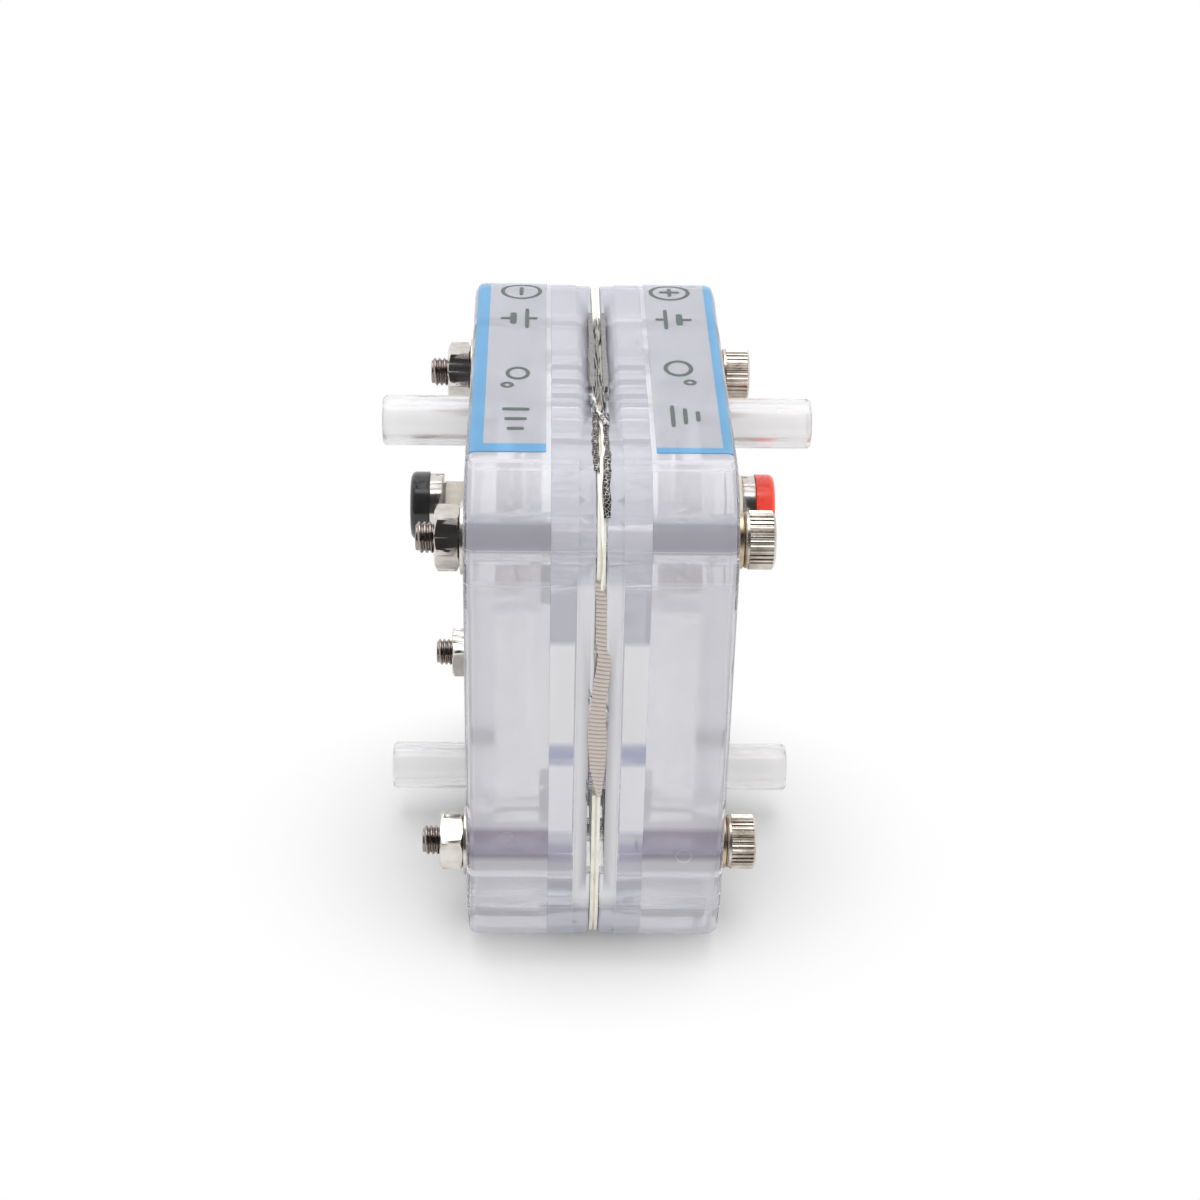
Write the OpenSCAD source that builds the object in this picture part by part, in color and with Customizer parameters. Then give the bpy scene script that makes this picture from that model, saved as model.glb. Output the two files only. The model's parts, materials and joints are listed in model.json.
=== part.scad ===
// Electrolyzer stack: one water-splitting cell clamped between two clear plastic halves.
// It stands on one edge. X runs along the stack, the minus half lies at -X and the plus half at +X.
// The origin is under the middle of the seam, on the surface that the stack stands on.

/* [Housing] */
// Height and depth of the square halves
side = 54; // [50:1:60]
// Radius of the four corners, seen along the stack
corner_r = 9; // [7:0.5:10]
// Thickness of each frosted end block
block_t = 8; // [8:0.5:12]
// Thickness of each clear cell plate
plate_t = 4.2; // [3.6:0.2:6]
// Rounding of the outer rim of the end blocks
rim_r = 1; // [0.4:0.1:1.5]
// Rounding of the clear plates along the seam
seam_r = 0.4; // [0.2:0.1:0.8]
// Thickness of the lip that borders the seam
lip_t = 1.65; // [0.8:0.05:2]
// Step between the lip and the rest of the clear plate
lip_step = 0.12; // [0.05:0.01:0.3]

/* [Chamber] */
// Width and height of the water chamber in each end block
chamber_side = 31; // [30.4:0.1:31.4]
// Corner radius of the chamber
chamber_r = 5; // [4.5:0.25:6]
// Wall between the chamber and the outer face
chamber_wall = 2.8; // [2.4:0.1:3.2]

/* [Hose stubs] */
// Outer diameter of the hose stubs
stub_od = 5; // [4:0.1:5.6]
// Inner diameter of the hose stubs
stub_id = 3; // [2:0.1:3.4]
// Length of a stub outside its end block
stub_out = 8.7; // [7:0.1:14]
// Depth of the stub's seat in the end block
stub_seat = 5; // [3:0.25:5.5]
// Width of the shoulder that stops a stub on the outer face
stub_shoulder = 0.25; // [0.2:0.05:0.5]
// Height of the stub axes above and below the centre
stub_rise = 21; // [20.5:0.25:21.5]
// Radial room for the adhesive round a stub
glue_gap = 0.05; // [0.02:0.01:0.1]
// Rounding of a stub's free end
stub_rim_r = 0.4; // [0.2:0.05:0.6]

/* [Cell] */
// Thickness of each silicone sheet
sheet_t = 0.3; // [0.2:0.05:0.6]
// Thickness of the membrane
membrane_t = 0.2; // [0.1:0.05:0.4]
// Distance from the plate edges to the edges of the sheets
sheet_inset = 0.35; // [0.2:0.05:1]
// Width and height of the active area
active_side = 29; // [24:0.5:29.5]
// Width and height of the woven collectors
mesh_side = 30.6; // [30:0.1:31]
// Thickness of the woven collectors
mesh_t = 0.45; // [0.3:0.05:0.6]
// Clearance round the collectors and electrodes
cell_gap = 0.2; // [0.1:0.05:0.4]
// Width of a flow slot
slot_w = 1.9; // [1.2:0.1:2.2]
// Distance between flow slots
slot_pitch = 3.2; // [2.8:0.1:3.4]
// Length of a flow slot
slot_len = 26; // [20:0.5:27]
// Number of flow slots
slot_n = 9; // [5:2:9]

/* [Collector tabs] */
// Near edge of the upper tab, from the centre
top_tab_from = -5; // [-8:0.5:-2]
// Far edge of the upper tab, from the centre
top_tab_to = 12; // [8:0.5:13]
// Height that the upper tab stands out of the seam
top_tab_out = 0.4; // [0.2:0.1:1]
// Lower edge of the front tab, from the centre
front_tab_from = -5.4; // [-9:0.2:-3]
// Upper edge of the front tab, from the centre
front_tab_to = 4; // [2:0.2:6]
// Lower edge of the front channel, from the centre
front_cut_from = -15; // [-15:0.5:-10]

/* [Contact strip] */
// Length of the strip's narrow part, above the front tab
strip_neck_len = 12.6; // [8:0.2:14]
// Width of the strip's narrow upper part
strip_neck_w = 0.64; // [0.4:0.02:0.7]
// Width of the strip in the front channel
strip_w = 1.2; // [0.9:0.05:1.4]
// Depth of the strip behind the front face
strip_depth = 1; // [0.6:0.1:1.4]
// Distance between ribs
rib_pitch = 0.45; // [0.4:0.05:0.8]
// Height of the ribs
rib_h = 0.14; // [0.08:0.02:0.2]

/* [Chamber seal] */
// Wall between the seal's groove and the chamber or a port
seal_wall = 0.8; // [0.6:0.05:1]
// Width of the seal
seal_w = 1.2; // [0.8:0.1:1.4]
// Thickness of the seal
seal_t = 0.9; // [0.6:0.1:1.2]
// Clearance of the seal in its groove
seal_gap = 0.1; // [0.05:0.05:0.15]

/* [Fasteners] */
// Distance between screws, both ways
screw_spacing = 35.5; // [34:0.5:37]
// Screw thread diameter
screw_d = 3; // [2.5:0.5:3]
// Length of thread that stands out of a nut
thread_out = 1.8; // [0.8:0.1:3]
// Radial clearance of the screw holes
screw_gap = 0.2; // [0.1:0.05:0.3]
// Screw head diameter
head_d = 5.6; // [5:0.1:6]
// Screw head height
head_h = 3; // [2.5:0.1:3.5]
// Width across flats of the key socket
key_af = 2.5; // [2:0.5:2.5]
// Depth of the key socket
key_depth = 1.3; // [1:0.1:1.5]
// Number of knurl grooves on a head
knurl_n = 36; // [24:2:40]
// Depth of the knurl grooves
knurl_depth = 0.12; // [0.05:0.01:0.16]
// Length of the smooth collar at the foot of a head
head_collar = 0.55; // [0.4:0.05:1]
// Rounding of a head's free rim
head_rim = 0.35; // [0.2:0.05:0.5]
// Diameter of the wide washers under the nuts
nut_washer_d = 7; // [6.5:0.1:8]
// Thickness of the wide washers under the nuts
nut_washer_t = 0.5; // [0.4:0.1:0.8]
// Diameter of the small washers under the heads
head_washer_d = 5.5; // [5:0.1:6]
// Thickness of the small washers under the heads
head_washer_t = 0.9; // [0.5:0.1:1.2]
// Turn of the upper nuts against the lower ones
nut_turn = 30; // [0:5:60]
// Nut width across flats
nut_af = 5.5; // [5:0.5:5.5]
// Nut thickness
nut_t = 2.4; // [2:0.1:2.6]
// Width of a nut's round face as a share of its width across flats
nut_face = 0.95; // [0.9:0.01:0.97]
// Slope of the chamfer on a nut's corners
nut_chamfer = 30; // [20:1:35]

/* [Jacks] */
// Height of the jacks above the centre
jack_rise = 11.3; // [10:0.1:11.6]
// Diameter of the coloured ring
ring_d = 6.9; // [6.7:0.1:8]
// Thickness of the coloured ring
ring_t = 1.9; // [1.5:0.1:3]
// Rounding of the ring's outer edge
ring_rim = 0.6; // [0.3:0.1:0.8]
// Diameter of the flange under the ring
flange_d = 6.6; // [6:0.1:7]
// Thickness of the flange
flange_t = 1.4; // [1:0.1:2]
// Diameter of the socket barrel
barrel_d = 4; // [3.6:0.1:4.2]
// Diameter of the socket's neck inside the ring
neck_d = 3.5; // [3.2:0.1:4]
// Diameter of the plug bore
plug_d = 2; // [1.6:0.1:2.2]
// Depth of the plug bore
plug_depth = 11; // [8:0.5:12]
// Diameter of the contact stem
stem_d = 2.4; // [2:0.1:2.6]
// Length of the collar under the minus flange
collar_len_minus = 2.8; // [2:0.1:4]
// Diameter of the collar under the minus flange
collar_d_minus = 5; // [4.8:0.1:5.6]
// Length of the collar under the plus flange
collar_len_plus = 2.2; // [1.6:0.1:4]
// Diameter of the collar under the plus flange
collar_d_plus = 7.4; // [6.8:0.1:8]
// Width across flats of the jack nut
jack_nut_af = 7; // [6.5:0.1:7.2]
// Thickness of the jack nut
jack_nut_t = 1.8; // [1.4:0.1:2.2]
// Radial clearance of the jack in its holes
jack_gap = 0.1; // [0.05:0.05:0.2]

/* [Labels] */
// Thickness of the label film
film_t = 0.1; // [0.05:0.05:0.2]
// Width of the labels along the stack
label_w = 6.7; // [5:0.1:7]
// Distance from the clear plate to the label
label_from = 0.5; // [0:0.1:1]
// Near edge of the labels, from the centre
label_near = -18; // [-18:0.5:-14]
// Angle that the labels run on over the far corner
label_wrap = 27; // [10:1:60]

/* [Hidden] */

$fn = 96;
MINUS = -1;
PLUS = 1;
UP = 1;
DOWN = -1;
// Length that a cutting tool runs past the surface it cuts
cut = 0.5;
mid = side / 2;
screw_at = screw_spacing / 2;
screw_hole_r = screw_d / 2 + screw_gap;
// Distances from the seam's middle plane, outward along the stack
seam_face = membrane_t / 2 + sheet_t;
mesh_face = seam_face + mesh_t;
block_face = seam_face + plate_t;
outer_face = block_face + block_t;
chamber_depth = block_t - chamber_wall;
chamber_floor = block_face + chamber_depth;
seat_floor = outer_face - stub_seat;
stub_seat_r = stub_od / 2 - stub_shoulder;
duct_depth = seat_floor - block_face;
nut_seat = outer_face + nut_washer_t;
head_seat = outer_face + head_washer_t;
recess_side = mesh_side + 2 * cell_gap;
window_side = active_side + 2 * cell_gap;
// The barrel stops short of the clear plate by one thickness of its own nut
barrel_end = chamber_floor - 2 * jack_nut_t;
barrel_hole_r = barrel_d / 2 + jack_gap;
stem_hole_r = stem_d / 2 + jack_gap;
pad_r = stem_hole_r + slot_w;
// The screws' thread end lies behind the minus half's nuts
screw_len = head_seat + nut_seat + nut_t + thread_out;
chamber_corner = (chamber_side / 2 - chamber_r) * sqrt(2) + chamber_r;
seal_r = chamber_corner + seal_wall + seal_gap + seal_w / 2;
lobe_r = stub_id / 2 + seal_wall + seal_gap + seal_w / 2;
// The strip runs from the foot of the front tab to the end of its narrow part
strip_len = front_tab_to - front_tab_from + strip_neck_len;
strip_bottom = front_tab_from;
strip_front = mid - sheet_inset / 2;
strip_back = strip_front - strip_depth;
view_tilt = 31;
hex_ratio = 2 / sqrt(3);

// Puts a shape drawn on the seam plane, with its height outward, on one half of the stack.
module on_side(half) {
    translate([0, 0, mid])
        if (half == MINUS) {
            mirror([1, 0, 0]) rotate([90, 0, 90]) children();
        } else {
            rotate([90, 0, 90]) children();
        }
}

// Repeats a shape at the four screw places.
module at_screws() {
    for (u = [-screw_at, screw_at], v = [-screw_at, screw_at])
        translate([u, v, 0]) children();
}

module rounded_square(width, r) {
    straight = width - 2 * r;
    square([width, straight], center = true);
    square([straight, width], center = true);
    for (u = [-1, 1], v = [-1, 1])
        translate([u * straight / 2, v * straight / 2]) circle(r);
}

// A quarter disc with its straight sides on the axes.
module quarter_disc(r) {
    intersection() {
        circle(r);
        square(r);
    }
}

// Quarter disc for a rim, with two tongues that run into the slab behind and below it.
module rim_profile(r) {
    quarter_disc(r);
    translate([-r / 2, -r / 2]) {
        square([r / 2, r + r / 2]);
        square([r, r / 2]);
    }
}

// Square slab with round corners, whose upper rim has a quarter-round edge.
module rimmed_slab(width, r, height, edge) {
    straight = width - 2 * r;
    linear_extrude(height - edge) rounded_square(width, r);
    translate([0, 0, height - edge]) {
        linear_extrude(edge) rounded_square(width - 2 * edge, r - edge);
        for (turn = [0:90:270]) rotate(turn) {
            translate([width / 2 - edge, -straight / 2, 0])
                rotate([-90, 180, 0]) mirror([1, 0, 0])
                    linear_extrude(straight) rim_profile(edge);
            translate([straight / 2, straight / 2, 0])
                rotate_extrude(angle = 90) translate([r - edge, 0]) rim_profile(edge);
        }
    }
}

module screw_holes(height) {
    at_screws() translate([0, 0, -cut]) cylinder(r = screw_hole_r, h = height + 2 * cut);
}

// Outline of the seal's middle line, grown or shrunk by a distance.
module seal_outline(grow) {
    circle(seal_r + grow);
    for (way = [UP, DOWN]) translate([0, way * stub_rise]) circle(lobe_r + grow);
}

module seal_ring(width, height) {
    linear_extrude(height) difference() {
        seal_outline(width / 2);
        seal_outline(-width / 2);
    }
}

// Frosted end block: chamber, ducts, stub seats, jack hole, seal groove and screw holes.
module end_block(half) {
    color([0.82, 0.82, 0.85, 0.8]) on_side(half) translate([0, 0, block_face]) difference() {
        rimmed_slab(side, corner_r, block_t, rim_r);
        translate([0, 0, -cut])
            linear_extrude(chamber_depth + cut) rounded_square(chamber_side, chamber_r);
        for (way = [UP, DOWN]) {
            translate([0, way * stub_rise, duct_depth])
                cylinder(r = stub_seat_r + glue_gap, h = stub_seat + cut);
            translate([0, way * stub_rise, -cut])
                cylinder(d = stub_id, h = duct_depth + 2 * cut);
            translate([-stub_id / 2, way > 0 ? 0 : -stub_rise, -cut])
                cube([stub_id, stub_rise, duct_depth + cut]);
        }
        translate([0, jack_rise, 0]) cylinder(r = barrel_hole_r, h = block_t + cut);
        translate([0, 0, -cut]) seal_ring(seal_w + 2 * seal_gap, seal_t + cut);
        screw_holes(block_t);
    }
}

module end_block_minus() { end_block(MINUS); }
module end_block_plus() { end_block(PLUS); }

// Channels pressed into the seam face for the collector and its two tabs.
module collector_recess() {
    linear_extrude(mesh_t + cut) {
        square(recess_side, center = true);
        translate([top_tab_from - cell_gap, 0])
            square([top_tab_to - top_tab_from + 2 * cell_gap, mid + cut]);
        translate([-mid - cut, front_cut_from])
            square([mid + cut, front_tab_to + cell_gap - front_cut_from]);
    }
}

// Slots that let water and gas pass, with a pad left round the jack's stem.
module flow_slots() {
    first = -(slot_n - 1) / 2 * slot_pitch;
    difference() {
        for (i = [0:slot_n - 1]) translate([first + i * slot_pitch, 0]) {
            square([slot_w, slot_len - slot_w], center = true);
            for (v = [-1, 1]) translate([0, v * (slot_len - slot_w) / 2]) circle(d = slot_w);
        }
        translate([0, jack_rise]) circle(pad_r);
    }
}

// Clear cell plate: stepped lip, collector recess, flow slots, stem hole and screw holes.
module cell_plate(half) {
    color([0.86, 0.88, 0.95, 0.45]) on_side(half) difference() {
        union() {
            translate([0, 0, seam_face + lip_t]) mirror([0, 0, 1])
                rimmed_slab(side - 2 * lip_step, corner_r - lip_step, lip_t, seam_r);
            translate([0, 0, seam_face + lip_t])
                linear_extrude(plate_t - lip_t) rounded_square(side, corner_r);
        }
        translate([0, 0, seam_face - cut]) collector_recess();
        translate([0, 0, mesh_face - cut]) linear_extrude(plate_t + cut) flow_slots();
        translate([0, jack_rise, 0]) cylinder(r = stem_hole_r, h = block_face + cut);
        screw_holes(block_face);
    }
}

module cell_plate_minus() { cell_plate(MINUS); }
module cell_plate_plus() { cell_plate(PLUS); }

module chamber_seal(half) {
    color([0.9, 0.9, 0.88]) on_side(half) translate([0, 0, block_face]) seal_ring(seal_w, seal_t);
}

module chamber_seal_minus() { chamber_seal(MINUS); }
module chamber_seal_plus() { chamber_seal(PLUS); }

// Outline of a sheet between the plates, notched where the contact strip lies.
module sheet_outline() {
    difference() {
        rounded_square(side - 2 * sheet_inset, corner_r - sheet_inset);
        at_screws() circle(screw_hole_r);
        translate([-mid - cut, strip_bottom - cell_gap])
            square([mid + cut - strip_back, strip_len + 2 * cell_gap]);
    }
}

module sheet_gasket(half) {
    color([0.93, 0.92, 0.84]) on_side(half) translate([0, 0, membrane_t / 2])
        linear_extrude(sheet_t) difference() {
            sheet_outline();
            square(window_side, center = true);
        }
}

module sheet_gasket_minus() { sheet_gasket(MINUS); }
module sheet_gasket_plus() { sheet_gasket(PLUS); }

module membrane() {
    color([0.88, 0.86, 0.78]) on_side(PLUS) translate([0, 0, -membrane_t / 2])
        linear_extrude(membrane_t) sheet_outline();
}

module electrode(half) {
    color([0.2, 0.2, 0.21]) on_side(half) translate([0, 0, membrane_t / 2])
        linear_extrude(sheet_t) square(active_side, center = true);
}

module electrode_minus() { electrode(MINUS); }
module electrode_plus() { electrode(PLUS); }

// Woven metal collector: a square with a tab to the top and a tab to the front.
module mesh_collector(half) {
    color([0.62, 0.61, 0.59]) on_side(half) translate([0, 0, seam_face])
        linear_extrude(mesh_t) {
            square(mesh_side, center = true);
            translate([top_tab_from, 0])
                square([top_tab_to - top_tab_from, mid + top_tab_out]);
            translate([-strip_back, front_tab_from])
                square([strip_back, front_tab_to - front_tab_from]);
        }
}

module mesh_collector_minus() { mesh_collector(MINUS); }
module mesh_collector_plus() { mesh_collector(PLUS); }

// Ridged profile of the contact strip, seen along the stack.
module strip_ribs() {
    n = floor(strip_len / rib_pitch);
    ridge = [for (i = [0:n - 1], e = [0, 0.5])
        [-strip_front + (e == 0 ? rib_h : 0), strip_bottom + (i + e) * rib_pitch]];
    polygon(concat(ridge, [[-strip_front + rib_h, strip_bottom + n * rib_pitch],
        [-strip_back, strip_bottom + n * rib_pitch], [-strip_back, strip_bottom]]));
}

// Front outline of the contact strip: a narrow neck over a wide part with a round tip.
module strip_front_outline() {
    tip_r = strip_w / 2;
    translate([-strip_neck_w / 2, front_tab_to - tip_r])
        square([strip_neck_w, strip_neck_len + tip_r]);
    translate([-strip_w / 2, strip_bottom + tip_r])
        square([strip_w, front_tab_to - strip_bottom - tip_r]);
    translate([0, strip_bottom + tip_r]) circle(tip_r);
}

// Ribbed woven strip that shows in the front of the seam and joins the two front tabs.
module contact_strip() {
    color([0.7, 0.66, 0.63]) translate([0, 0, mid]) intersection() {
        rotate([90, 0, 90]) translate([0, 0, -strip_w]) linear_extrude(2 * strip_w) strip_ribs();
        rotate([90, 0, 0]) linear_extrude(mid) strip_front_outline();
    }
}

// Hose stub with a rounded free end and a narrower foot that sits in the end block.
module hose_stub(half, way) {
    length = stub_seat + stub_out;
    wall = (stub_od - stub_id) / 2;
    rim = min(stub_rim_r, wall / 2);
    color([0.95, 0.95, 0.94]) on_side(half) translate([0, way * stub_rise, seat_floor])
        rotate_extrude() {
            translate([stub_id / 2, 0]) square([stub_seat_r - stub_id / 2, length - rim]);
            translate([stub_id / 2, stub_seat]) square([wall, stub_out - rim]);
            translate([stub_id / 2 + rim, length - 2 * rim]) square([wall - 2 * rim, 2 * rim]);
            for (r = [stub_id / 2 + rim, stub_od / 2 - rim])
                translate([r, length - rim]) circle(rim, $fn = 32);
        }
}

module upper_stub_minus() { hose_stub(MINUS, UP); }
module lower_stub_minus() { hose_stub(MINUS, DOWN); }
module upper_stub_plus() { hose_stub(PLUS, UP); }
module lower_stub_plus() { hose_stub(PLUS, DOWN); }

// Head profile of a cap screw: plain collar, knurled barrel and rounded rim.
module screw_head() {
    difference() {
        rotate_extrude() {
            square([head_d / 2, head_h - head_rim]);
            square([head_d / 2 - head_rim, head_h]);
            translate([head_d / 2 - head_rim, head_h - head_rim]) quarter_disc(head_rim);
        }
        translate([0, 0, head_collar]) linear_extrude(head_h)
            for (i = [0:knurl_n - 1]) rotate(i * 360 / knurl_n)
                translate([head_d / 2, 0]) rotate(45) square(knurl_depth * sqrt(2), center = true);
        translate([0, 0, head_h - key_depth])
            cylinder(d = key_af * hex_ratio, h = key_depth + cut, $fn = 6);
    }
}

module cap_screws() {
    color([0.78, 0.76, 0.72]) on_side(PLUS) at_screws() {
        translate([0, 0, head_seat]) screw_head();
        translate([0, 0, head_seat - screw_len]) cylinder(d = screw_d, h = screw_len);
    }
}

module washers(diameter, height) {
    at_screws() translate([0, 0, outer_face]) difference() {
        cylinder(d = diameter, h = height);
        translate([0, 0, -cut]) cylinder(r = screw_hole_r, h = height + 2 * cut);
    }
}

module head_washers() {
    color([0.7, 0.62, 0.52]) on_side(PLUS) washers(head_washer_d, head_washer_t);
}

module nut_washers() {
    color([0.8, 0.78, 0.74]) on_side(MINUS) washers(nut_washer_d, nut_washer_t);
}

// Hexagon nut, turned down to a round face at both ends.
module hex_nut(af, height, bore_r, turn) {
    corner = af * hex_ratio / 2;
    face_r = nut_face * af / 2;
    slope = (corner - face_r) * tan(nut_chamfer);
    rotate(turn) difference() {
        intersection() {
            cylinder(r = corner, h = height, $fn = 6);
            rotate_extrude() polygon([[0, 0], [face_r, 0], [corner, slope],
                [corner, height - slope], [face_r, height], [0, height]]);
        }
        translate([0, 0, -cut]) cylinder(r = bore_r, h = height + 2 * cut);
    }
}

// Each nut stopped at its own angle: two show a flat to the front and two an edge.
module hex_nuts() {
    color([0.78, 0.76, 0.72]) on_side(MINUS) for (u = [-1, 1], v = [-1, 1])
        translate([u * screw_at, v * screw_at, nut_seat])
            hex_nut(nut_af, nut_t, screw_d / 2 + glue_gap, -view_tilt + (v > 0 ? nut_turn : 0));
}

// Distance of the flange from the seam plane on one half.
function flange_at(half) = outer_face + (half == MINUS ? collar_len_minus : collar_len_plus);

// Turned socket: stem to the collector, barrel through the block, flange and neck.
module jack_socket(half) {
    base = flange_at(half);
    top = base + flange_t + ring_t - ring_rim;
    color([0.8, 0.77, 0.72]) on_side(half) translate([0, jack_rise, 0]) rotate_extrude()
        difference() {
            union() {
                translate([0, mesh_face]) square([stem_d / 2, top - mesh_face]);
                translate([0, barrel_end]) square([barrel_d / 2, base - barrel_end]);
                translate([0, base]) square([flange_d / 2, flange_t]);
                translate([0, base]) square([neck_d / 2, top - base]);
            }
            translate([0, top - plug_depth]) square([plug_d / 2, plug_depth + cut]);
        }
}

module jack_socket_minus() { jack_socket(MINUS); }
module jack_socket_plus() { jack_socket(PLUS); }

// Coloured ring round the mouth of a jack.
module jack_ring(half) {
    hole_r = neck_d / 2 + jack_gap;
    translate([0, jack_rise, flange_at(half) + flange_t]) rotate_extrude() difference() {
        union() {
            square([ring_d / 2, ring_t - ring_rim]);
            square([ring_d / 2 - ring_rim, ring_t]);
            translate([ring_d / 2 - ring_rim, ring_t - ring_rim]) quarter_disc(ring_rim);
        }
        translate([0, -cut]) square([hole_r, ring_t + 2 * cut]);
    }
}

module jack_ring_minus() { color([0.05, 0.05, 0.06]) on_side(MINUS) jack_ring(MINUS); }
module jack_ring_plus() { color([0.95, 0.18, 0.12]) on_side(PLUS) jack_ring(PLUS); }

// Collar between the block and the flange, with a chamfer at its outer end.
module jack_collar(diameter, height, chamfer) {
    translate([0, jack_rise, outer_face]) rotate_extrude() polygon([
        [barrel_hole_r, 0], [diameter / 2, 0], [diameter / 2, height - chamfer],
        [diameter / 2 - chamfer, height], [barrel_hole_r, height]]);
}

module jack_collar_minus() {
    color([0.8, 0.77, 0.72]) on_side(MINUS) jack_collar(collar_d_minus, collar_len_minus, 0.25);
}
module jack_collar_plus() {
    color([0.8, 0.77, 0.72]) on_side(PLUS) jack_collar(collar_d_plus, collar_len_plus, 0.4);
}

module jack_nut(half) {
    color([0.8, 0.77, 0.72]) on_side(half)
        translate([0, jack_rise, chamber_floor - jack_nut_t])
            hex_nut(jack_nut_af, jack_nut_t, barrel_hole_r, 0);
}

module jack_nut_minus() { jack_nut(MINUS); }
module jack_nut_plus() { jack_nut(PLUS); }

// Film on the block's upper face that runs on over the far corner.
module label(half) {
    centre = mid - corner_r;
    reach = side;
    color([0.55, 0.8, 0.98]) on_side(half) translate([0, 0, block_face + label_from])
        linear_extrude(label_w) intersection() {
            difference() {
                rounded_square(side + 2 * film_t, corner_r + film_t);
                rounded_square(side, corner_r);
            }
            union() {
                translate([label_near, 0]) square([centre - label_near, side]);
                translate([centre, centre]) polygon([[0, 0], [0, reach],
                    [reach * tan(label_wrap), reach]]);
            }
        }
}

module label_minus() { label(MINUS); }
module label_plus() { label(PLUS); }

end_block_minus();
end_block_plus();
cell_plate_minus();
cell_plate_plus();
chamber_seal_minus();
chamber_seal_plus();
sheet_gasket_minus();
sheet_gasket_plus();
membrane();
electrode_minus();
electrode_plus();
mesh_collector_minus();
mesh_collector_plus();
contact_strip();
upper_stub_minus();
lower_stub_minus();
upper_stub_plus();
lower_stub_plus();
cap_screws();
head_washers();
nut_washers();
hex_nuts();
jack_socket_minus();
jack_socket_plus();
jack_ring_minus();
jack_ring_plus();
jack_collar_minus();
jack_collar_plus();
jack_nut_minus();
jack_nut_plus();
label_minus();
label_plus();
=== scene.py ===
import json
import logging
import math
from contextlib import contextmanager
from dataclasses import dataclass, field
from enum import Enum
from functools import reduce
from typing import Any, Callable, Iterator, Sequence

import bmesh
import bpy
from mathutils import Matrix, Vector

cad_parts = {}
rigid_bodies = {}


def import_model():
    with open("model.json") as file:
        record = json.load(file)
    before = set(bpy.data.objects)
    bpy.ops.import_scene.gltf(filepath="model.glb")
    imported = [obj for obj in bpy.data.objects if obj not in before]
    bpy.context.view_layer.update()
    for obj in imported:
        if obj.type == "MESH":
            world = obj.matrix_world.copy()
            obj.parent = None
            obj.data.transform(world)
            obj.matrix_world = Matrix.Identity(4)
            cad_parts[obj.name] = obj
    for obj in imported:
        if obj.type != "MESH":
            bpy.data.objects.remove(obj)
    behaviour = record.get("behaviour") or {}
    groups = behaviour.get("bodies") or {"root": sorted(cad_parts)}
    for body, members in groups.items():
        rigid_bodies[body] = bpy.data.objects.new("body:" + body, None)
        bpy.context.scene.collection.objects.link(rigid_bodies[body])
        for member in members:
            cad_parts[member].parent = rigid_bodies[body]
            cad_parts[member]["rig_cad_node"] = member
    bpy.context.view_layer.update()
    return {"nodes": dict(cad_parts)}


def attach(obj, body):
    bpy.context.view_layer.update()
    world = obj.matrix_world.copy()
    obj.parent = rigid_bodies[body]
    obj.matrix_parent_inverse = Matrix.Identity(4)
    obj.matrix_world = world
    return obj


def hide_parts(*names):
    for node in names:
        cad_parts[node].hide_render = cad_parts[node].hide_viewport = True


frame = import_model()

BODY = "root"
# One millimetre in metres. Sizes are in millimetres unless their class says otherwise.
MM = 0.001
# Half the halves' edge, and so the height of their middle
MIDDLE = 27.0
CORNER_R = 9.0
# Where the rounded corners start, from the middle
CORNER_AT = MIDDLE - CORNER_R
# A point this close to a face lies on it
TOUCH = 0.002
# Thickness of the printed ink and width of its lines
INK_H = 0.04
LINE = 0.42
# A woven edge whose top is below this is a knitted one
KNIT_TOP = 0.1

log = logging.getLogger("electrolyzer_stack")

Colour = tuple[float, float, float]
Point = tuple[float, float, float]
Piece = bpy.types.Object
Material = bpy.types.Material
Node = bpy.types.Node
Socket = bpy.types.NodeSocket


class Half(Enum):
    """The two halves of the stack, named after their poles, with their way along X."""

    MINUS = -1
    PLUS = 1

    @property
    def label(self) -> str:
        """Name ending that the CAD nodes of this half use."""
        return self.name.lower()


class Pick(Enum):
    """What an edit-mode selection is made of."""

    POINTS = "VERT"
    EDGES = "EDGE"
    FACES = "FACE"


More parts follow.
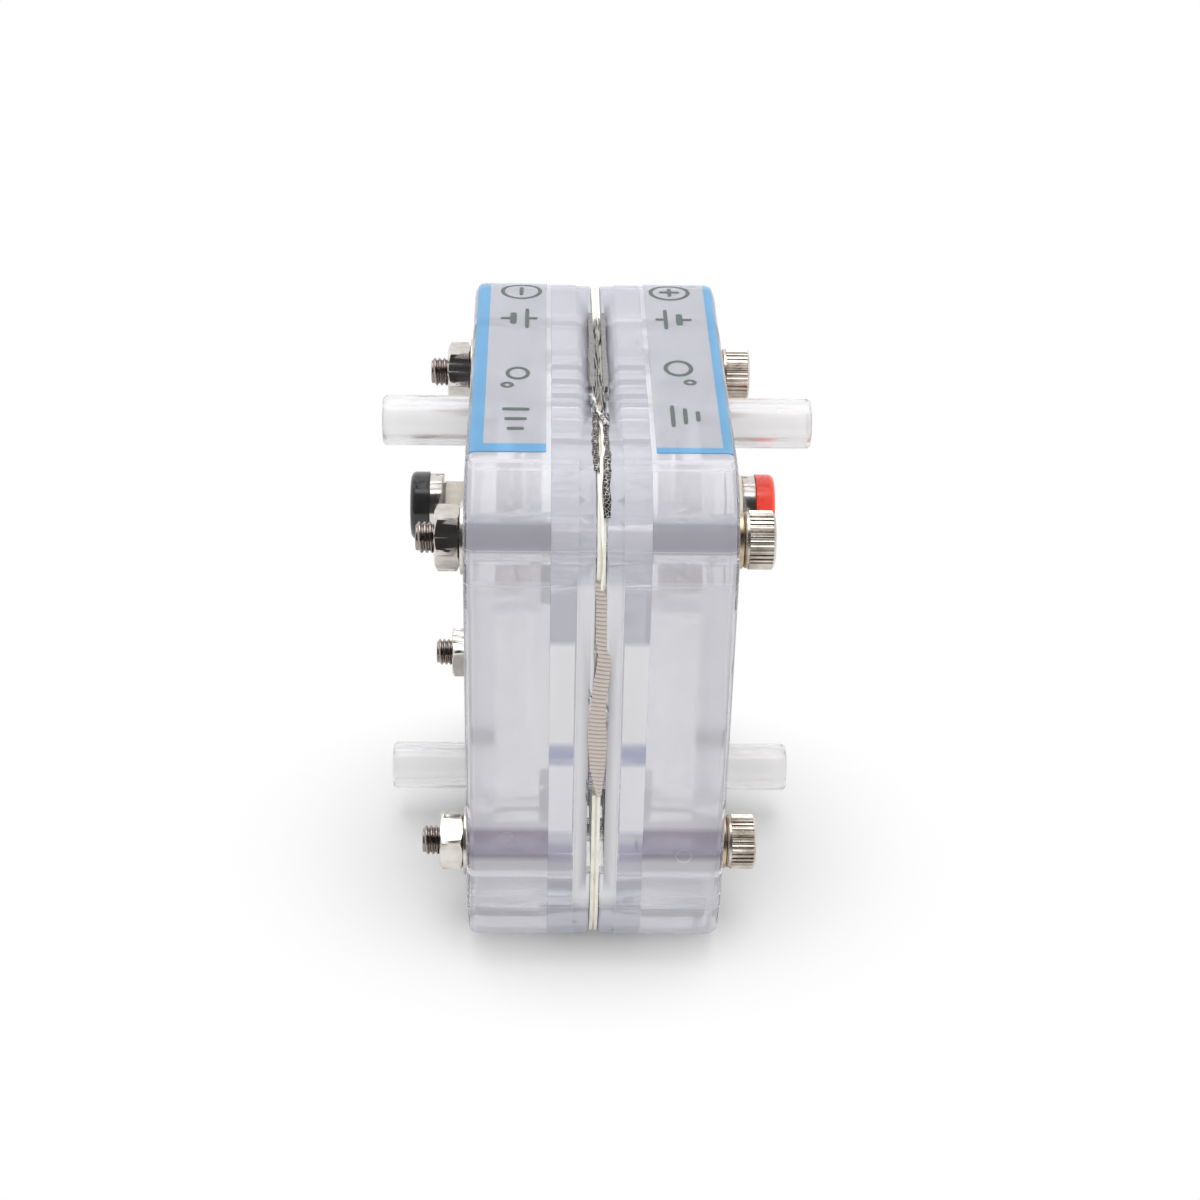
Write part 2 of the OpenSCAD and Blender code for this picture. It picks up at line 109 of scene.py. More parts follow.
class Bench:
    """The modelling bench: short wrappers round the operators that every piece needs."""

    @staticmethod
    def clear() -> None:
        """Deselects every object."""
        bpy.ops.object.select_all(action="DESELECT")

    @staticmethod
    def hold(piece: Piece) -> None:
        """Selects one piece alone and makes it the active one.

        Args:
            piece: The piece.
        """
        Bench.clear()
        piece.select_set(True)
        bpy.context.view_layer.objects.active = piece

    @staticmethod
    def settle(piece: Piece) -> None:
        """Puts a piece's place, turn and size into its mesh."""
        Bench.hold(piece)
        bpy.ops.object.transform_apply(location=True, rotation=True, scale=True)

    @staticmethod
    def named(name: str) -> Piece:
        """Names the active object and its mesh and settles it.

        Args:
            name: The piece's name.

        Returns:
            The active object.
        """
        piece = bpy.context.view_layer.objects.active
        piece.name = piece.data.name = name
        Bench.settle(piece)
        return piece

    @staticmethod
    def make(adder: Callable[..., Any], name: str, **settings: Any) -> Piece:
        """Makes a basic mesh.

        Args:
            adder: Blender's operator for the shape.
            name: Name of the piece.
            settings: Values of the operator's settings.

        Returns:
            The piece, settled.
        """
        Bench.clear()
        adder(**settings)
        return Bench.named(name)

    @staticmethod
    @contextmanager
    def editing(piece: Piece, kind: Pick) -> Iterator[None]:
        """Opens a piece in edit mode with nothing selected.

        Args:
            piece: The piece to edit.
            kind: What is going to be selected.

        Returns:
            A context at whose end the piece is closed again.
        """
        Bench.hold(piece)
        bpy.ops.object.mode_set(mode="EDIT")
        bpy.ops.mesh.select_mode(type=kind.value)
        bpy.ops.mesh.select_all(action="DESELECT")
        try:
            yield
        finally:
            bpy.ops.object.mode_set(mode="OBJECT")

    @staticmethod
    def pick(piece: Piece, kind: Pick, test: Callable[[Vector], bool]) -> None:
        """Selects, in edit mode, the points, edges or faces whose middle passes a test.

        Args:
            piece: The piece that is open in edit mode.
            kind: What to select.
            test: Takes a middle in metres and tells whether it is wanted.
        """
        mesh = bmesh.from_edit_mesh(piece.data)
        parts, middle = {
            Pick.POINTS: (mesh.verts, lambda part: part.co),
            Pick.EDGES: (mesh.edges, lambda part: (part.verts[0].co + part.verts[1].co) / 2),
            Pick.FACES: (mesh.faces, lambda part: part.calc_center_median()),
        }[kind]
        for part in parts:
            part.select_set(test(middle(part)))
        mesh.select_flush_mode()
        bmesh.update_edit_mesh(piece.data)

    @staticmethod
    def modify(piece: Piece, kind: str, **settings: Any) -> None:
        """Adds a modifier, sets it and applies it.

        Args:
            piece: The piece to change.
            kind: Blender's name of the modifier.
            settings: Values of the modifier's settings.
        """
        Bench.hold(piece)
        modifier = piece.modifiers.new(kind.title(), kind)
        for key, value in settings.items():
            setattr(modifier, key, value)
        bpy.ops.object.modifier_apply(modifier=modifier.name)

    @staticmethod
    def smooth(piece: Piece, angle: float = 32.0) -> None:
        """Smooths round faces and keeps flat faces flat and edges sharp.

        Args:
            piece: The piece to smooth.
            angle: Angle in degrees above which an edge stays sharp.
        """
        Bench.hold(piece)
        bpy.ops.object.shade_smooth_by_angle(angle=math.radians(angle))
        Bench.modify(piece, "WEIGHTED_NORMAL", keep_sharp=True)

    @staticmethod
    def outward(piece: Piece) -> None:
        """Merges doubles and turns all faces outward.

        Args:
            piece: The piece.
        """
        with Bench.editing(piece, Pick.FACES):
            bpy.ops.mesh.select_all(action="SELECT")
            bpy.ops.mesh.remove_doubles(threshold=1e-7)
            bpy.ops.mesh.normals_make_consistent(inside=False)

    @staticmethod
    def twin(piece: Piece, name: str, move: Point) -> Piece:
        """Copies a piece with a mesh of its own and moves the copy.

        Args:
            piece: The finished original.
            name: Name of the copy.
            move: Way of the move in millimetres.

        Returns:
            The copy, with its place in its mesh.
        """
        copy = piece.copy()
        copy.data = piece.data.copy()
        copy.name = copy.data.name = name
        bpy.context.scene.collection.objects.link(copy)
        copy.location = Vector(move) * MM
        Bench.settle(copy)
        return copy

    @staticmethod
    def join(pieces: Sequence[Piece], name: str) -> Piece:
        """Joins several meshes into one piece.

        Args:
            pieces: The meshes, of which the first one stays.
            name: Name of the joined piece.

        Returns:
            The joined piece.
        """
        Bench.hold(pieces[0])
        for piece in pieces[1:]:
            piece.select_set(True)
        bpy.ops.object.join()
        return Bench.named(name)

    @staticmethod
    def cast(node: str, name: str, angle: float = 32.0, bevel: float = 0.0) -> Piece:
        """Takes a smooth copy of a CAD node, which then stands for the node.

        Args:
            node: Name of the CAD node.
            name: Name of the new piece.
            angle: Angle in degrees above which an edge stays sharp.
            bevel: Width in millimetres of a small rounding on sharp edges.

        Returns:
            The new piece.
        """
        source = frame["nodes"][node]
        piece = bpy.data.objects.new(name, source.data.copy())
        piece.data.name = name
        piece.data.materials.clear()
        bpy.context.scene.collection.objects.link(piece)
        with Bench.editing(piece, Pick.FACES):
            bpy.ops.mesh.select_all(action="SELECT")
            bpy.ops.mesh.remove_doubles(threshold=1e-6)
            if bevel:
                bpy.ops.mesh.dissolve_limited(angle_limit=math.radians(0.5))
        if bevel:
            Bench.modify(piece, "BEVEL", width=bevel * MM, segments=2, limit_method="ANGLE",
                         angle_limit=math.radians(50), use_clamp_overlap=True)
        Bench.smooth(piece, angle)
        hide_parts(node)
        return piece

    @staticmethod
    def split(piece: Piece, place: Point, way: Point) -> None:
        """Cuts the faces of a piece along a plane and keeps both sides.

        Args:
            piece: The piece to cut.
            place: A point of the plane in millimetres.
            way: The plane's normal.
        """
        with Bench.editing(piece, Pick.FACES):
            bpy.ops.mesh.select_all(action="SELECT")
            bpy.ops.mesh.bisect(plane_co=Vector(place) * MM, plane_no=way)

    @staticmethod
    def reshape(piece: Piece, move: Callable[[Vector], Vector]) -> None:
        """Moves each point of a piece by a rule.

        Args:
            piece: The piece to shape.
            move: Takes a point in millimetres and gives its new place.
        """
        for point in piece.data.vertices:
            point.co = move(point.co / MM) * MM
        piece.data.update()


class Sheet:
    """The node sheet of one material, its owner."""

    output_kind = "ShaderNodeOutputMaterial"

    def __init__(self, name: str) -> None:
        """Starts an empty sheet with its output node.

        Args:
            name: Name of the material.
        """
        self.owner = self.start(name)
        self.owner.use_nodes = True
        self.tree = self.owner.node_tree
        self.tree.nodes.clear()
        self.output = self.add(self.output_kind)

    def start(self, name: str) -> bpy.types.ID:
        """Makes the material that the sheet belongs to."""
        return bpy.data.materials.new(name)

    def add(self, kind: str, values: dict[str, Any] | None = None, **settings: Any) -> Node:
        """Adds a node.

        Args:
            kind: Blender's name of the node.
            values: Values of its input sockets.
            settings: Values of its own settings.

        Returns:
            The node.
        """
        node = self.tree.nodes.new(kind)
        for key, value in settings.items():
            setattr(node, key, value)
        for key, value in (values or {}).items():
            node.inputs[key].default_value = value
        return node

    def link(self, source: Socket, target: Socket) -> None:
        """Joins an output socket to an input socket."""
        self.tree.links.new(source, target)

    def place(self) -> Socket:
        """Place on the piece in its own coordinates, in metres."""
        return self.add("ShaderNodeTexCoord").outputs["Object"]

    def axes(self) -> tuple[Socket, Socket, Socket]:
        """X, Y and Z of the place on the piece, in metres.

        Returns:
            The three values.
        """
        split = self.add("ShaderNodeSeparateXYZ")
        self.link(self.place(), split.inputs["Vector"])
        return tuple(split.outputs)

    def beyond(self, source: Socket, limit: float) -> Socket:
        """Marks with 1 where a value in metres is farther from 0 than a limit in millimetres."""
        return self.math("GREATER_THAN", self.math("ABSOLUTE", source), limit * MM)

    def apart(self, source: Socket, at: float) -> Socket:
        """Distance in metres of a value in metres from a place in millimetres."""
        return self.math("ABSOLUTE", self.math("SUBTRACT", source, at * MM))

    def near(self, source: Socket, at: float, half: float) -> Socket:
        """Marks with 1 where a value in metres lies within half a width, in millimetres, of a place."""
        return self.math("LESS_THAN", self.apart(source, at), half * MM)

    def length(self, first: Socket, second: Socket) -> Socket:
        """Length of an arrow from its two sides at right angles."""
        return self.math("SQRT", self.math("ADD", self.math("POWER", first, 2.0),
                                           self.math("POWER", second, 2.0)))

    def both(self, *masks: Socket) -> Socket:
        """Joins masks to the area where all of them hold."""
        return reduce(lambda joined, mask: self.math("MULTIPLY", joined, mask), masks)

    def either(self, *masks: Socket) -> Socket:
        """Joins masks to the area where any of them holds."""
        return reduce(lambda joined, mask: self.math("MAXIMUM", joined, mask), masks)

    def raised(self, source: Socket, mask: Socket, amount: float) -> Socket:
        """Adds an amount to a value within a mask."""
        return self.math("ADD", source, self.math("MULTIPLY", mask, amount))

    def tint(self, shade: Socket, mask: Socket, colour: Colour, clamp: bool = False) -> Socket:
        """Multiplies a colour by another one within a mask.

        Args:
            shade: The colour to tint.
            mask: Where the tint shows.
            colour: The tint.
            clamp: Whether the result is kept within 0 and 1.

        Returns:
            The tinted colour.
        """
        mix = self.add("ShaderNodeMix", data_type="RGBA", blend_type="MULTIPLY", clamp_result=clamp)
        mix.inputs["B"].default_value = (*colour, 1)
        self.link(mask, mix.inputs["Factor"])
        self.link(shade, mix.inputs["A"])
        return mix.outputs["Result"]

    def noise(self, scale: float, detail: float = 2.0, stretch: Point = (1, 1, 1)) -> Socket:
        """Soft noise over the piece.

        Args:
            scale: Noise cells in a metre.
            detail: Number of finer layers.
            stretch: Factors for the three directions.

        Returns:
            The noise value, about 0.3 to 0.7.
        """
        mapping = self.add("ShaderNodeMapping", {"Scale": stretch})
        noise = self.add("ShaderNodeTexNoise", {"Scale": scale, "Detail": detail})
        self.link(self.place(), mapping.inputs["Vector"])
        self.link(mapping.outputs["Vector"], noise.inputs["Vector"])
        return noise.outputs["Fac"]

    def spread(self, source: Socket, low: float, high: float, start: float = 0.3, end: float = 0.7) -> Socket:
        """Maps a value from one range to another.

        Args:
            source: The value.
            low: Result at the start.
            high: Result at the end.
            start: Value at which the range starts.
            end: Value at which the range ends.

        Returns:
            The mapped value.
        """
        node = self.add("ShaderNodeMapRange",
                        {"From Min": start, "From Max": end, "To Min": low, "To Max": high})
        self.link(source, node.inputs["Value"])
        return node.outputs["Result"]

    def ramp(self, source: Socket, stops: Sequence[tuple[float, Colour]]) -> Socket:
        """Turns a value into colours.

        Args:
            source: The value.
            stops: Places and colours of the ramp.

        Returns:
            The colour.
        """
        node = self.add("ShaderNodeValToRGB")
        bar = node.color_ramp.elements
        while len(bar) < len(stops):
            bar.new(0.5)
        for stop, (at, colour) in zip(bar, stops):
            stop.position = at
            stop.color = (*colour, 1)
        self.link(source, node.inputs["Fac"])
        return node.outputs["Color"]

    def math(self, operation: str, first: Any, second: Any = None) -> Socket:
        """A sum on one or two values.

        Args:
            operation: Blender's name of the sum.
            first: A socket or a number.
            second: A socket or a number.

        Returns:
            The result.
        """
        node = self.add("ShaderNodeMath", operation=operation)
        for at, value in enumerate((first, second)):
            if isinstance(value, (int, float)):
                node.inputs[at].default_value = value
            elif value is not None:
                self.link(value, node.inputs[at])
        return node.outputs["Value"]

    def bump(self, height: Socket, depth: float) -> Socket:
        """Fine relief.

        Args:
            height: Height value of the relief.
            depth: Depth of the relief in millimetres.

        Returns:
            The bent normal.
        """
        node = self.add("ShaderNodeBump", {"Strength": 1.0, "Distance": depth * MM})
        self.link(height, node.inputs["Height"])
        return node.outputs["Normal"]

    def shader(self, kind: str, values: dict[str, Any] | None = None, **links: Socket) -> Node:
        """Adds a shader with linked sockets.

        Args:
            kind: Blender's name of the node.
            values: Constant values by socket name.
            links: Sockets to link, by socket name with underscores for spaces.

        Returns:
            The node.
        """
        node = self.add(kind, values)
        for key, source in links.items():
            self.link(source, node.inputs[key.replace("_", " ")])
        return node

    def blend(self, share: Socket | float, first: Node, second: Node) -> Node:
        """Mixes two shaders.

        Args:
            share: Share of the second shader.
            first: Node of the first shader.
            second: Node of the second shader.

        Returns:
            The mixing node.
        """
        mix = self.add("ShaderNodeMixShader")
        if isinstance(share, float):
            mix.inputs[0].default_value = share
        else:
            self.link(share, mix.inputs[0])
        for at, shader in enumerate((first, second), start=1):
            self.link(shader.outputs[0], mix.inputs[at])
        return mix

    def close(self, shader: Node) -> bpy.types.ID:
        """Links the last shader to the output and gives back the sheet's owner."""
        self.link(shader.outputs[0], self.output.inputs["Surface"])
        return self.owner

    def finish(self, values: dict[str, Any], **links: Socket) -> Material:
        """Closes the sheet with a Principled shader that has these values and links."""
        return self.close(self.shader("ShaderNodeBsdfPrincipled", values, **links))


class SkySheet(Sheet):
    """The node sheet of the surroundings."""

    output_kind = "ShaderNodeOutputWorld"

    def start(self, name: str) -> bpy.types.ID:
        """Makes the surroundings and hangs them round the scene.

        Args:
            name: Name of the surroundings.

        Returns:
            The surroundings.
        """
        world = bpy.data.worlds.new(name)
        bpy.context.scene.world = world
        return world

    def glow(self, strength: float = 1.0, colour: Colour = (1, 1, 1)) -> Node:
        """Adds a background of one strength and colour."""
        return self.add("ShaderNodeBackground", {"Color": (*colour, 1), "Strength": strength})

    def towards(self, way: Point, fade: tuple[float, float], strengths: tuple[float, float]) -> Socket:
        """Strength that changes with the angle to a direction.

        Args:
            way: The direction.
            fade: Cosines of the angles at which the change starts and ends.
            strengths: Strength before and after the change.

        Returns:
            The strength.
        """
        angle = self.add("ShaderNodeVectorMath", operation="DOT_PRODUCT")
        angle.inputs[1].default_value = Vector(way).normalized()
        self.link(self.add("ShaderNodeTexCoord").outputs["Generated"], angle.inputs[0])
        values = dict(zip(("From Min", "From Max", "To Min", "To Max"), (*fade, *strengths)))
        change = self.add("ShaderNodeMapRange", values, interpolation_type="SMOOTHSTEP")
        self.link(angle.outputs["Value"], change.inputs["Value"])
        return change.outputs["Result"]


@dataclass(frozen=True)
class Finish:
    """A finish with the record's slot that it belongs to."""

    name: str
    slot: str

    def build(self) -> Material:
        """Makes the material, in each kind of finish in its own way."""
        raise NotImplementedError

    def put(self, piece: Piece) -> None:
        """Gives the finish to a piece and lets the piece ride on the stack.

        Args:
            piece: The piece to dress.
        """
        material = bpy.data.materials.get(self.name) or self.build()
        piece.data.materials.clear()
        piece.data.materials.append(material)
        if "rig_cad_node" not in piece:
            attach(piece, BODY)
        log.info("%s: %s", piece.name, self.name)


@dataclass(frozen=True)
class Band:
    """A soft band across the front faces, where the inside would show through: painted light where its colour
    factors are above 1, painted shade where they are below 1.

    It reaches from one height to another and from a near to a far distance from the seam plane.
    """

    high: float
    low: float
    near: float
    far: float
    colour: Colour
    haze: float = 0.0
    soft: float = 0.35
    face: float = 25.5

    def mask(self, sheet: Sheet) -> Socket:
        """Finds the band by height and by distance from the seam plane.

        Args:
            sheet: The node sheet.

        Returns:
            1 in the band, 0 outside, with soft upper and lower edges.
        """
        x, y, z = sheet.axes()
        half = (self.high - self.low) / 2 * MM
        apart = sheet.apart(z, (self.high + self.low) / 2)
        inside = sheet.spread(apart, 1.0, 0.0, half - self.soft * MM, half + self.soft * MM)
        out = sheet.math("ABSOLUTE", x)
        wide = sheet.both(sheet.math("GREATER_THAN", out, self.near * MM),
                          sheet.math("LESS_THAN", out, self.far * MM))
        return sheet.both(inside, wide, sheet.math("LESS_THAN", y, -self.face * MM))


@dataclass(frozen=True)
class HazyPlastic(Finish):
    """Polished clear moulding whose body scatters a part of the light.

    The outer skin, the sawn flats, the scribed lines and the painted light and shade of each front band add
    to its haze; each such band also tints its colours.
    """

    tint: Colour = (0.93, 0.94, 0.985)
    milk: Colour = (0.80, 0.80, 0.88)
    haze: float = 0.3
    matt: tuple[float, float] = (0.02, 0.04)
    wave: float = 0.004
    stretch: Point = (1, 1, 1)
    index: float = 1.45
    passed_on: float = 0.35
    pale_gain: float = 1.03
    cloud_dim: float = 0.96
    haze_sway: float = 0.1
    skin: float = 0.0
    skin_from: float = 8.75
    foot: float = 0.3
    flats: tuple[float, float] | None = None
    flat_half: float = 0.02
    lines: tuple[float, float] | None = None
    line_heights: tuple[float, ...] = (53.87, 53.62, 48.3, 45.0, 11.9, 9.4, 7.9)
    line_half: float = 0.05
    line_from: float = 19.0
    rings: tuple[tuple[float, float], ...] = ()
    ring_r: float = 0.75
    ring_half: float = 0.06
    # Painted light and shade: soft tinted stripes on the front faces only
    bands: tuple[Band, ...] = ()

    def skin_mask(self, sheet: Sheet) -> Socket:
        """Finds the outer skin of the square halves, with their rounded corners.

        Args:
            sheet: The node sheet.

        Returns:
            1 on the skin above the foot, 0 elsewhere.
        """
        _, y, z = sheet.axes()
        arms = []
        for source in (y, sheet.math("SUBTRACT", z, MIDDLE * MM)):
            past = sheet.math("SUBTRACT", sheet.math("ABSOLUTE", source), CORNER_AT * MM)
            arms.append(sheet.math("MAXIMUM", past, 0.0))
        outer = sheet.math("GREATER_THAN", sheet.length(*arms), self.skin_from * MM)
        return sheet.both(outer, sheet.math("GREATER_THAN", z, self.foot * MM))

    def line_mask(self, sheet: Sheet) -> Socket:
        """Finds the fine scribed lines along X and the small rings on the front.

        Args:
            sheet: The node sheet.

        Returns:
            1 on a line, 0 elsewhere.
        """
        x, y, z = sheet.axes()
        found = [sheet.near(z, height, self.line_half) for height in self.line_heights]
        for ring_x, ring_z in self.rings:
            apart = sheet.length(sheet.math("SUBTRACT", x, ring_x * MM),
                                 sheet.math("SUBTRACT", z, ring_z * MM))
            found.append(sheet.both(sheet.near(apart, self.ring_r, self.ring_half),
                                    sheet.math("LESS_THAN", y, 0.0)))
        worn = sheet.spread(sheet.noise(900), 0.4, 1.0)
        return sheet.both(sheet.either(*found), sheet.beyond(y, self.line_from), worn)

    def flat_mask(self, sheet: Sheet) -> Socket:
        """Marks with 1 the flat front and back faces, which are matt from the saw."""
        return sheet.beyond(sheet.axes()[1], MIDDLE - self.flat_half)

    def surface(self, sheet: Sheet) -> tuple[Socket, Socket]:
        """Works out how matt and how hazy each place is.

        Args:
            sheet: The node sheet.

        Returns:
            The roughness and the share of haze.
        """
        matt = sheet.spread(sheet.noise(500, 4, self.stretch), *self.matt)
        haze = sheet.spread(sheet.noise(110, 3, self.stretch), self.haze * (1 - self.haze_sway),
                            self.haze * (1 + self.haze_sway))
        if self.skin:
            haze = sheet.raised(haze, self.skin_mask(sheet), self.skin)
        for amounts, find in ((self.flats, self.flat_mask), (self.lines, self.line_mask)):
            if amounts:
                mask = find(sheet)
                matt = sheet.raised(matt, mask, amounts[0])
                haze = sheet.raised(haze, mask, amounts[1])
        return matt, haze

    def build(self) -> Material:
        """Makes the material.

        Returns:
            The material.
        """
        sheet = Sheet(self.name)
        pale = tuple(min(1.0, c * self.pale_gain) for c in self.tint)
        shade = sheet.ramp(sheet.noise(90, 2, self.stretch), [(0.3, self.tint), (0.7, pale)])
        dim = tuple(c * self.cloud_dim for c in self.milk)
        cloud = sheet.ramp(sheet.noise(140, 3, self.stretch), [(0.3, dim), (0.7, self.milk)])
        matt, haze = self.surface(sheet)
        # Painted light and shade: each painted band tints the glass and milk colours and adds haze.
        for band in self.bands:
            mask = band.mask(sheet)
            shade = sheet.tint(shade, mask, band.colour, clamp=True)
            cloud = sheet.tint(cloud, mask, band.colour, clamp=True)
            haze = sheet.raised(haze, mask, band.haze)
        wave = sheet.bump(sheet.noise(300, 2, self.stretch), self.wave)
        glass = sheet.shader("ShaderNodeBsdfPrincipled", {"IOR": self.index, "Transmission Weight": 1.0},
                             Base_Color=shade, Roughness=matt, Normal=wave)
        scatter = [sheet.shader(kind, Color=cloud)
                   for kind in ("ShaderNodeBsdfDiffuse", "ShaderNodeBsdfTranslucent")]
        return sheet.close(sheet.blend(haze, glass, sheet.blend(self.passed_on, *scatter)))


@dataclass(frozen=True)
class PlatedMetal(Finish):
    """Bright plated metal with fine turning marks, and with steps of painted shade beyond given distances
    along X.
    """

    bright: Colour = (0.74, 0.71, 0.67)
    dull: Colour = (0.60, 0.56, 0.51)
    matt: tuple[float, float] = (0.10, 0.24)
    stretch: Point = (1, 1, 1)
    stains: tuple[tuple[float, Colour], ...] = ()

    def build(self) -> Material:
        """Makes the material.

        Returns:
            The material.
        """
        sheet = Sheet(self.name)
        shade = sheet.ramp(sheet.noise(600, 4), [(0.35, self.dull), (0.6, self.bright)])
        # Painted shade: beyond each distance the colour is multiplied by that step's factor.
        for start, colour in self.stains:
            shade = sheet.tint(shade, sheet.beyond(sheet.axes()[0], start), colour)
        matt = sheet.spread(sheet.noise(1500, 3, self.stretch), *self.matt)
        marks = sheet.bump(sheet.noise(5000, 2, self.stretch), 0.0006)
        return sheet.finish({"Metallic": 1.0}, Base_Color=shade, Roughness=matt, Normal=marks)


@dataclass(frozen=True)
class GlossPlastic(Finish):
    """Coloured plastic with a soft moulded surface."""

    colour: Colour = (0.02, 0.02, 0.022)
    roughness: float = 0.22
    pale_gain: float = 1.12
    pale_lift: float = 0.004
    matt: tuple[float, float] = (0.8, 1.3)

    def build(self) -> Material:
        """Makes the material.

        Returns:
            The material.
        """
        sheet = Sheet(self.name)
        pale = tuple(min(1.0, c * self.pale_gain + self.pale_lift) for c in self.colour)
        shade = sheet.ramp(sheet.noise(500, 3), [(0.35, self.colour), (0.7, pale)])
        matt = sheet.spread(sheet.noise(900, 3), *(self.roughness * share for share in self.matt))
        skin = sheet.bump(sheet.noise(1400, 2), 0.006)
        return sheet.finish({"Coat Weight": 0.25, "Coat Roughness": 0.15},
                            Base_Color=shade, Roughness=matt, Normal=skin)


@dataclass(frozen=True)
class SoftSheet(Finish):
    """Soft silicone, film or felt with a fine skin."""

    colour: Colour = (0.86, 0.83, 0.70)
    dark: Colour = (0.70, 0.67, 0.56)
    grain: float = 900
    depth: float = 0.02

    def build(self) -> Material:
        """Makes the material.

        Returns:
            The material.
        """
        sheet = Sheet(self.name)
        shade = sheet.ramp(sheet.noise(self.grain * 0.5, 4), [(0.32, self.dark), (0.55, self.colour)])
        matt = sheet.spread(sheet.noise(self.grain, 3), 0.4, 0.6)
        skin = sheet.bump(sheet.noise(self.grain * 3, 3), self.depth)
        return sheet.finish({"Subsurface Weight": 0.1, "Subsurface Radius": (0.001, 0.001, 0.0008)},
                            Base_Color=shade, Roughness=matt, Normal=skin)


@dataclass(frozen=True)
class WovenWire(Finish):
    """Fine woven wire with dark holes, and with a darker tab above a height."""

    bright: Colour = (0.36, 0.35, 0.34)
    dark: Colour = (0.05, 0.05, 0.05)
    wires: float = 3200
    metal: float = 0.35
    tab_from: float | None = None
    tab_shade: Colour = (0.30, 0.285, 0.28)

    def build(self) -> Material:
        """Makes the material.

        Returns:
            The material.
        """
        sheet = Sheet(self.name)
        _, y, z = sheet.axes()
        turns = 2 * math.pi * self.wires
        weave = sheet.both(*(sheet.math("SINE", sheet.math("MULTIPLY", way, turns)) for way in (y, z)))
        mixed = sheet.math("ADD", sheet.math("MULTIPLY", weave, 0.35), sheet.noise(1800, 4))
        shade = sheet.ramp(mixed, [(0.3, self.dark), (0.55, self.bright)])
        if self.tab_from:
            shade = sheet.tint(shade, sheet.math("GREATER_THAN", z, self.tab_from * MM), self.tab_shade)
        relief = sheet.bump(weave, 0.03)
        return sheet.finish({"Metallic": self.metal, "Roughness": 0.35}, Base_Color=shade, Normal=relief)


@dataclass(frozen=True)
class KnitWire(Finish):
    """Cut edge of knitted wire: dark holes inside pale loops."""

    hole: Colour = (0.012, 0.009, 0.009)
    loop: Colour = (0.62, 0.59, 0.56)
    loops: float = 2900
    stroke: tuple[float, float] = (0.015, 0.055)

    def build(self) -> Material:
        """Makes the material.

        Returns:
            The material.
        """
        sheet = Sheet(self.name)
        cells = sheet.add("ShaderNodeTexVoronoi", {"Scale": self.loops, "Randomness": 0.9},
                          feature="DISTANCE_TO_EDGE")
        sheet.link(sheet.place(), cells.inputs["Vector"])
        tone = sheet.math("MULTIPLY", cells.outputs["Distance"],
                           sheet.spread(sheet.noise(1500, 2), 0.5, 1.6))
        shade = sheet.ramp(tone, [(self.stroke[0], self.loop), (self.stroke[1], self.hole)])
        relief = sheet.bump(cells.outputs["Distance"], 0.03)
        return sheet.finish({"Metallic": 0.3, "Roughness": 0.4}, Base_Color=shade, Normal=relief)


@dataclass(frozen=True)
class RibbedWire(Finish):
    """Ribbed strip in its own colour on the crests, darkened by depth along Y to painted shade in the
    grooves.
    """

    crest: Colour = (0.60, 0.53, 0.49)
    valley: Colour = (0.13, 0.11, 0.10)
    front: float = -26.67
    back: float = -26.53

    def build(self) -> Material:
        """Makes the material.

        Returns:
            The material.
        """
        sheet = Sheet(self.name)
        # Painted shade: the deeper a place lies along Y, the darker it is painted.
        depth = sheet.spread(sheet.axes()[1], 0.0, 1.0, self.front * MM, self.back * MM)
        tone = sheet.math("ADD", depth, sheet.spread(sheet.noise(2500, 3), -0.15, 0.15))
        shade = sheet.ramp(tone, [(0.25, self.crest), (0.85, self.valley)])
        matt = sheet.spread(sheet.noise(3000, 3), 0.3, 0.5)
        grain = sheet.bump(sheet.noise(12000, 2), 0.003)
        return sheet.finish({"Metallic": 0.6}, Base_Color=shade, Roughness=matt, Normal=grain)


@dataclass(frozen=True)
class LabelFilm(Finish):
    """Clear printed film with a coloured border along three of its edges."""

    half: Half = Half.MINUS
    outer_from: float = 10.95
    near_to: float = -16.4
    far_from: float = 20.7
    blue: Colour = (0.30, 0.70, 1.0)
    field_tint: Colour = (0.84, 0.84, 0.87)

    def build(self) -> Material:
        """Makes the material.

        Returns:
            The material.
        """
        sheet = Sheet(self.name)
        x, y, _ = sheet.axes()
        out = sheet.math("MULTIPLY", x, float(self.half.value))
        border = sheet.either(sheet.math("GREATER_THAN", out, self.outer_from * MM),
                              sheet.math("LESS_THAN", y, self.near_to * MM),
                              sheet.math("GREATER_THAN", y, self.far_from * MM))
        paint = sheet.ramp(border, [(0.0, self.field_tint), (1.0, self.blue)])
        fade = sheet.add("ShaderNodeMix", {"Factor": 1.0}, data_type="RGBA", blend_type="MULTIPLY")
        sheet.link(paint, fade.inputs["A"])
        sheet.link(sheet.ramp(sheet.noise(220, 3), [(0.3, (0.94, 0.95, 0.96)), (0.7, (1, 1, 1))]),
                   fade.inputs["B"])
        matt = sheet.spread(sheet.noise(700, 3), 0.1, 0.2)
        skin = sheet.bump(sheet.noise(350, 3), 0.008)
        return sheet.finish({"IOR": 1.4, "Transmission Weight": 0.82},
                            Base_Color=fade.outputs["Result"], Roughness=matt, Normal=skin)


